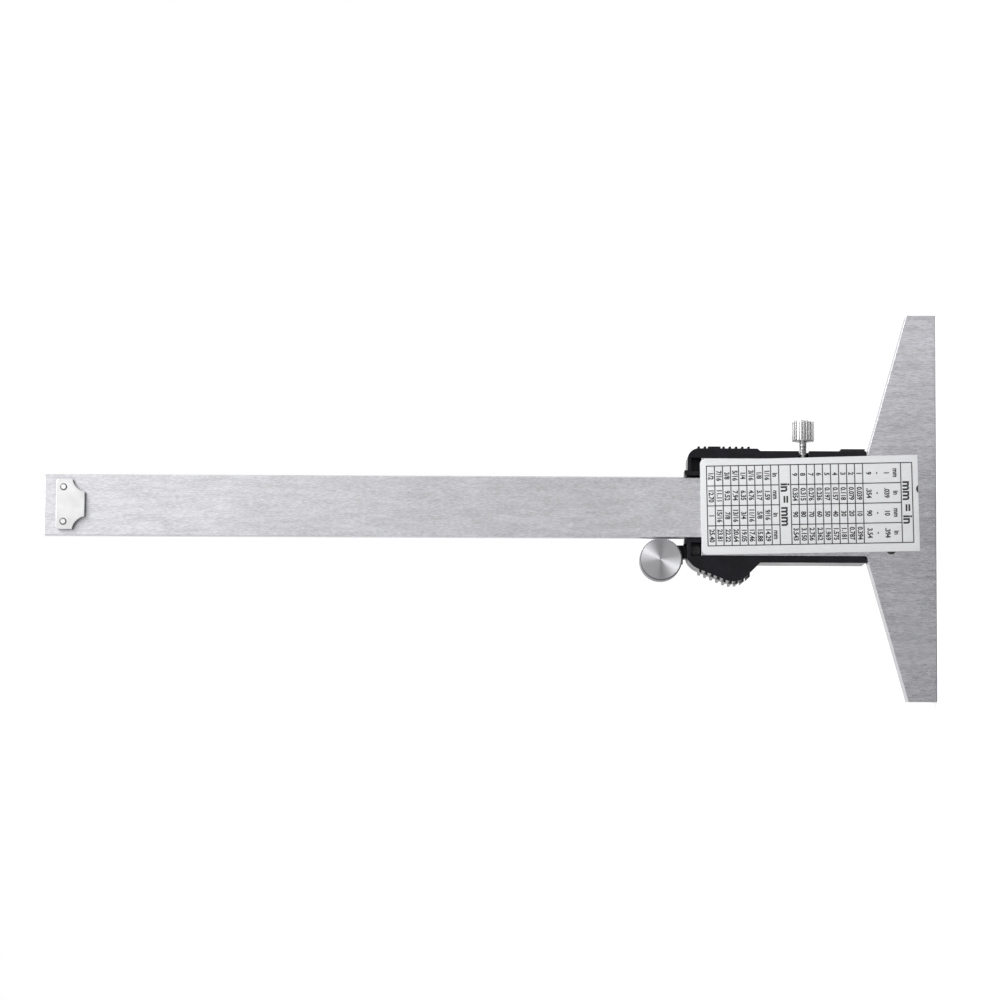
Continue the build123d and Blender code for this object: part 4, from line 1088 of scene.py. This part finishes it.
pick(head, "VERT", in_flute)
narrow = 1 - flute_depth / head_radius
resize((1, narrow, narrow))
mode("OBJECT")
bpy.ops.object.shade_smooth_by_angle(angle=math.radians(28))
settle(head, Matrix.Translation(((head_near + head_far) / 2, 0, screw_axis.z)))

thread = primitive("cylinder", vertices=32, radius=stem_radius - thread_depth,
                   depth=thread_pitch, end_fill_type="NOTHING", rotation=(0, math.pi / 2, 0))
mode("EDIT")
bpy.ops.mesh.select_all(action="SELECT")
bpy.ops.mesh.bisect(plane_co=(0, 0, 0), plane_no=(1, 0, 0))
wide = stem_radius / (stem_radius - thread_depth)
resize((1, wide, wide))
mode("OBJECT")
turns = int((stem_end - head_near) / thread_pitch)
modified(thread, "ARRAY", count=turns, use_relative_offset=False, use_constant_offset=True,
         constant_offset_displace=(-thread_pitch, 0, 0), use_merge_vertices=True,
         merge_threshold=1e-6)
mode("EDIT")
bpy.ops.mesh.select_all(action="DESELECT")
bpy.ops.mesh.select_mode(type="EDGE")
bpy.ops.mesh.select_non_manifold()
bpy.ops.mesh.edge_face_add()
mode("OBJECT")
settle(thread, Matrix.Translation((stem_end - thread_pitch / 2, 0, screw_axis.z)))
neck = primitive("cylinder", vertices=32, radius=neck_radius, depth=thread_pitch * 3,
                 location=(head_near + thread_pitch, 0, screw_axis.z), rotation=(0, math.pi / 2, 0))
lock_screw = joined("lock_screw_fluted", [head, thread, neck])
lock_steel = turned_steel("lock_steel", grey(0.51), grey(0.72), rough=0.2,
                          centre=screw_axis, axis=(1, 0, 0), ring_pitch=0.12 * mm)
tree = lock_steel.node_tree
at = coordinates(tree)
reach = from_line(tree, at["Y"], 0.0, at["Z"], screw_axis.z)
# painted shade in the flutes of the head and the roots of the thread
flutes = remap(tree, reach, head_radius - flute_depth * 0.3, head_radius - flute_depth,
               0.0, flute_shade)
on_head = times(tree,
                remap(tree, at["X"], head_far + head_round * 0.5, head_far + head_round),
                remap(tree, at["X"], head_near - head_round * 0.5, head_near - head_round))
roots = remap(tree, reach, stem_radius - thread_depth * 0.3, stem_radius - thread_depth,
              0.0, root_shade)
on_stem = remap(tree, at["X"], head_near, head_near + stem_start)
oiled(lock_steel, maths(tree, "MAXIMUM", times(tree, flutes, on_head),
                        times(tree, roots, on_stem)))
belongs(lock_screw, "screw", "turned_steel", lock_steel, "lock_screw")

# --------------------------------------------------------------------------- finishing
# Nothing is left selected.

select_only()
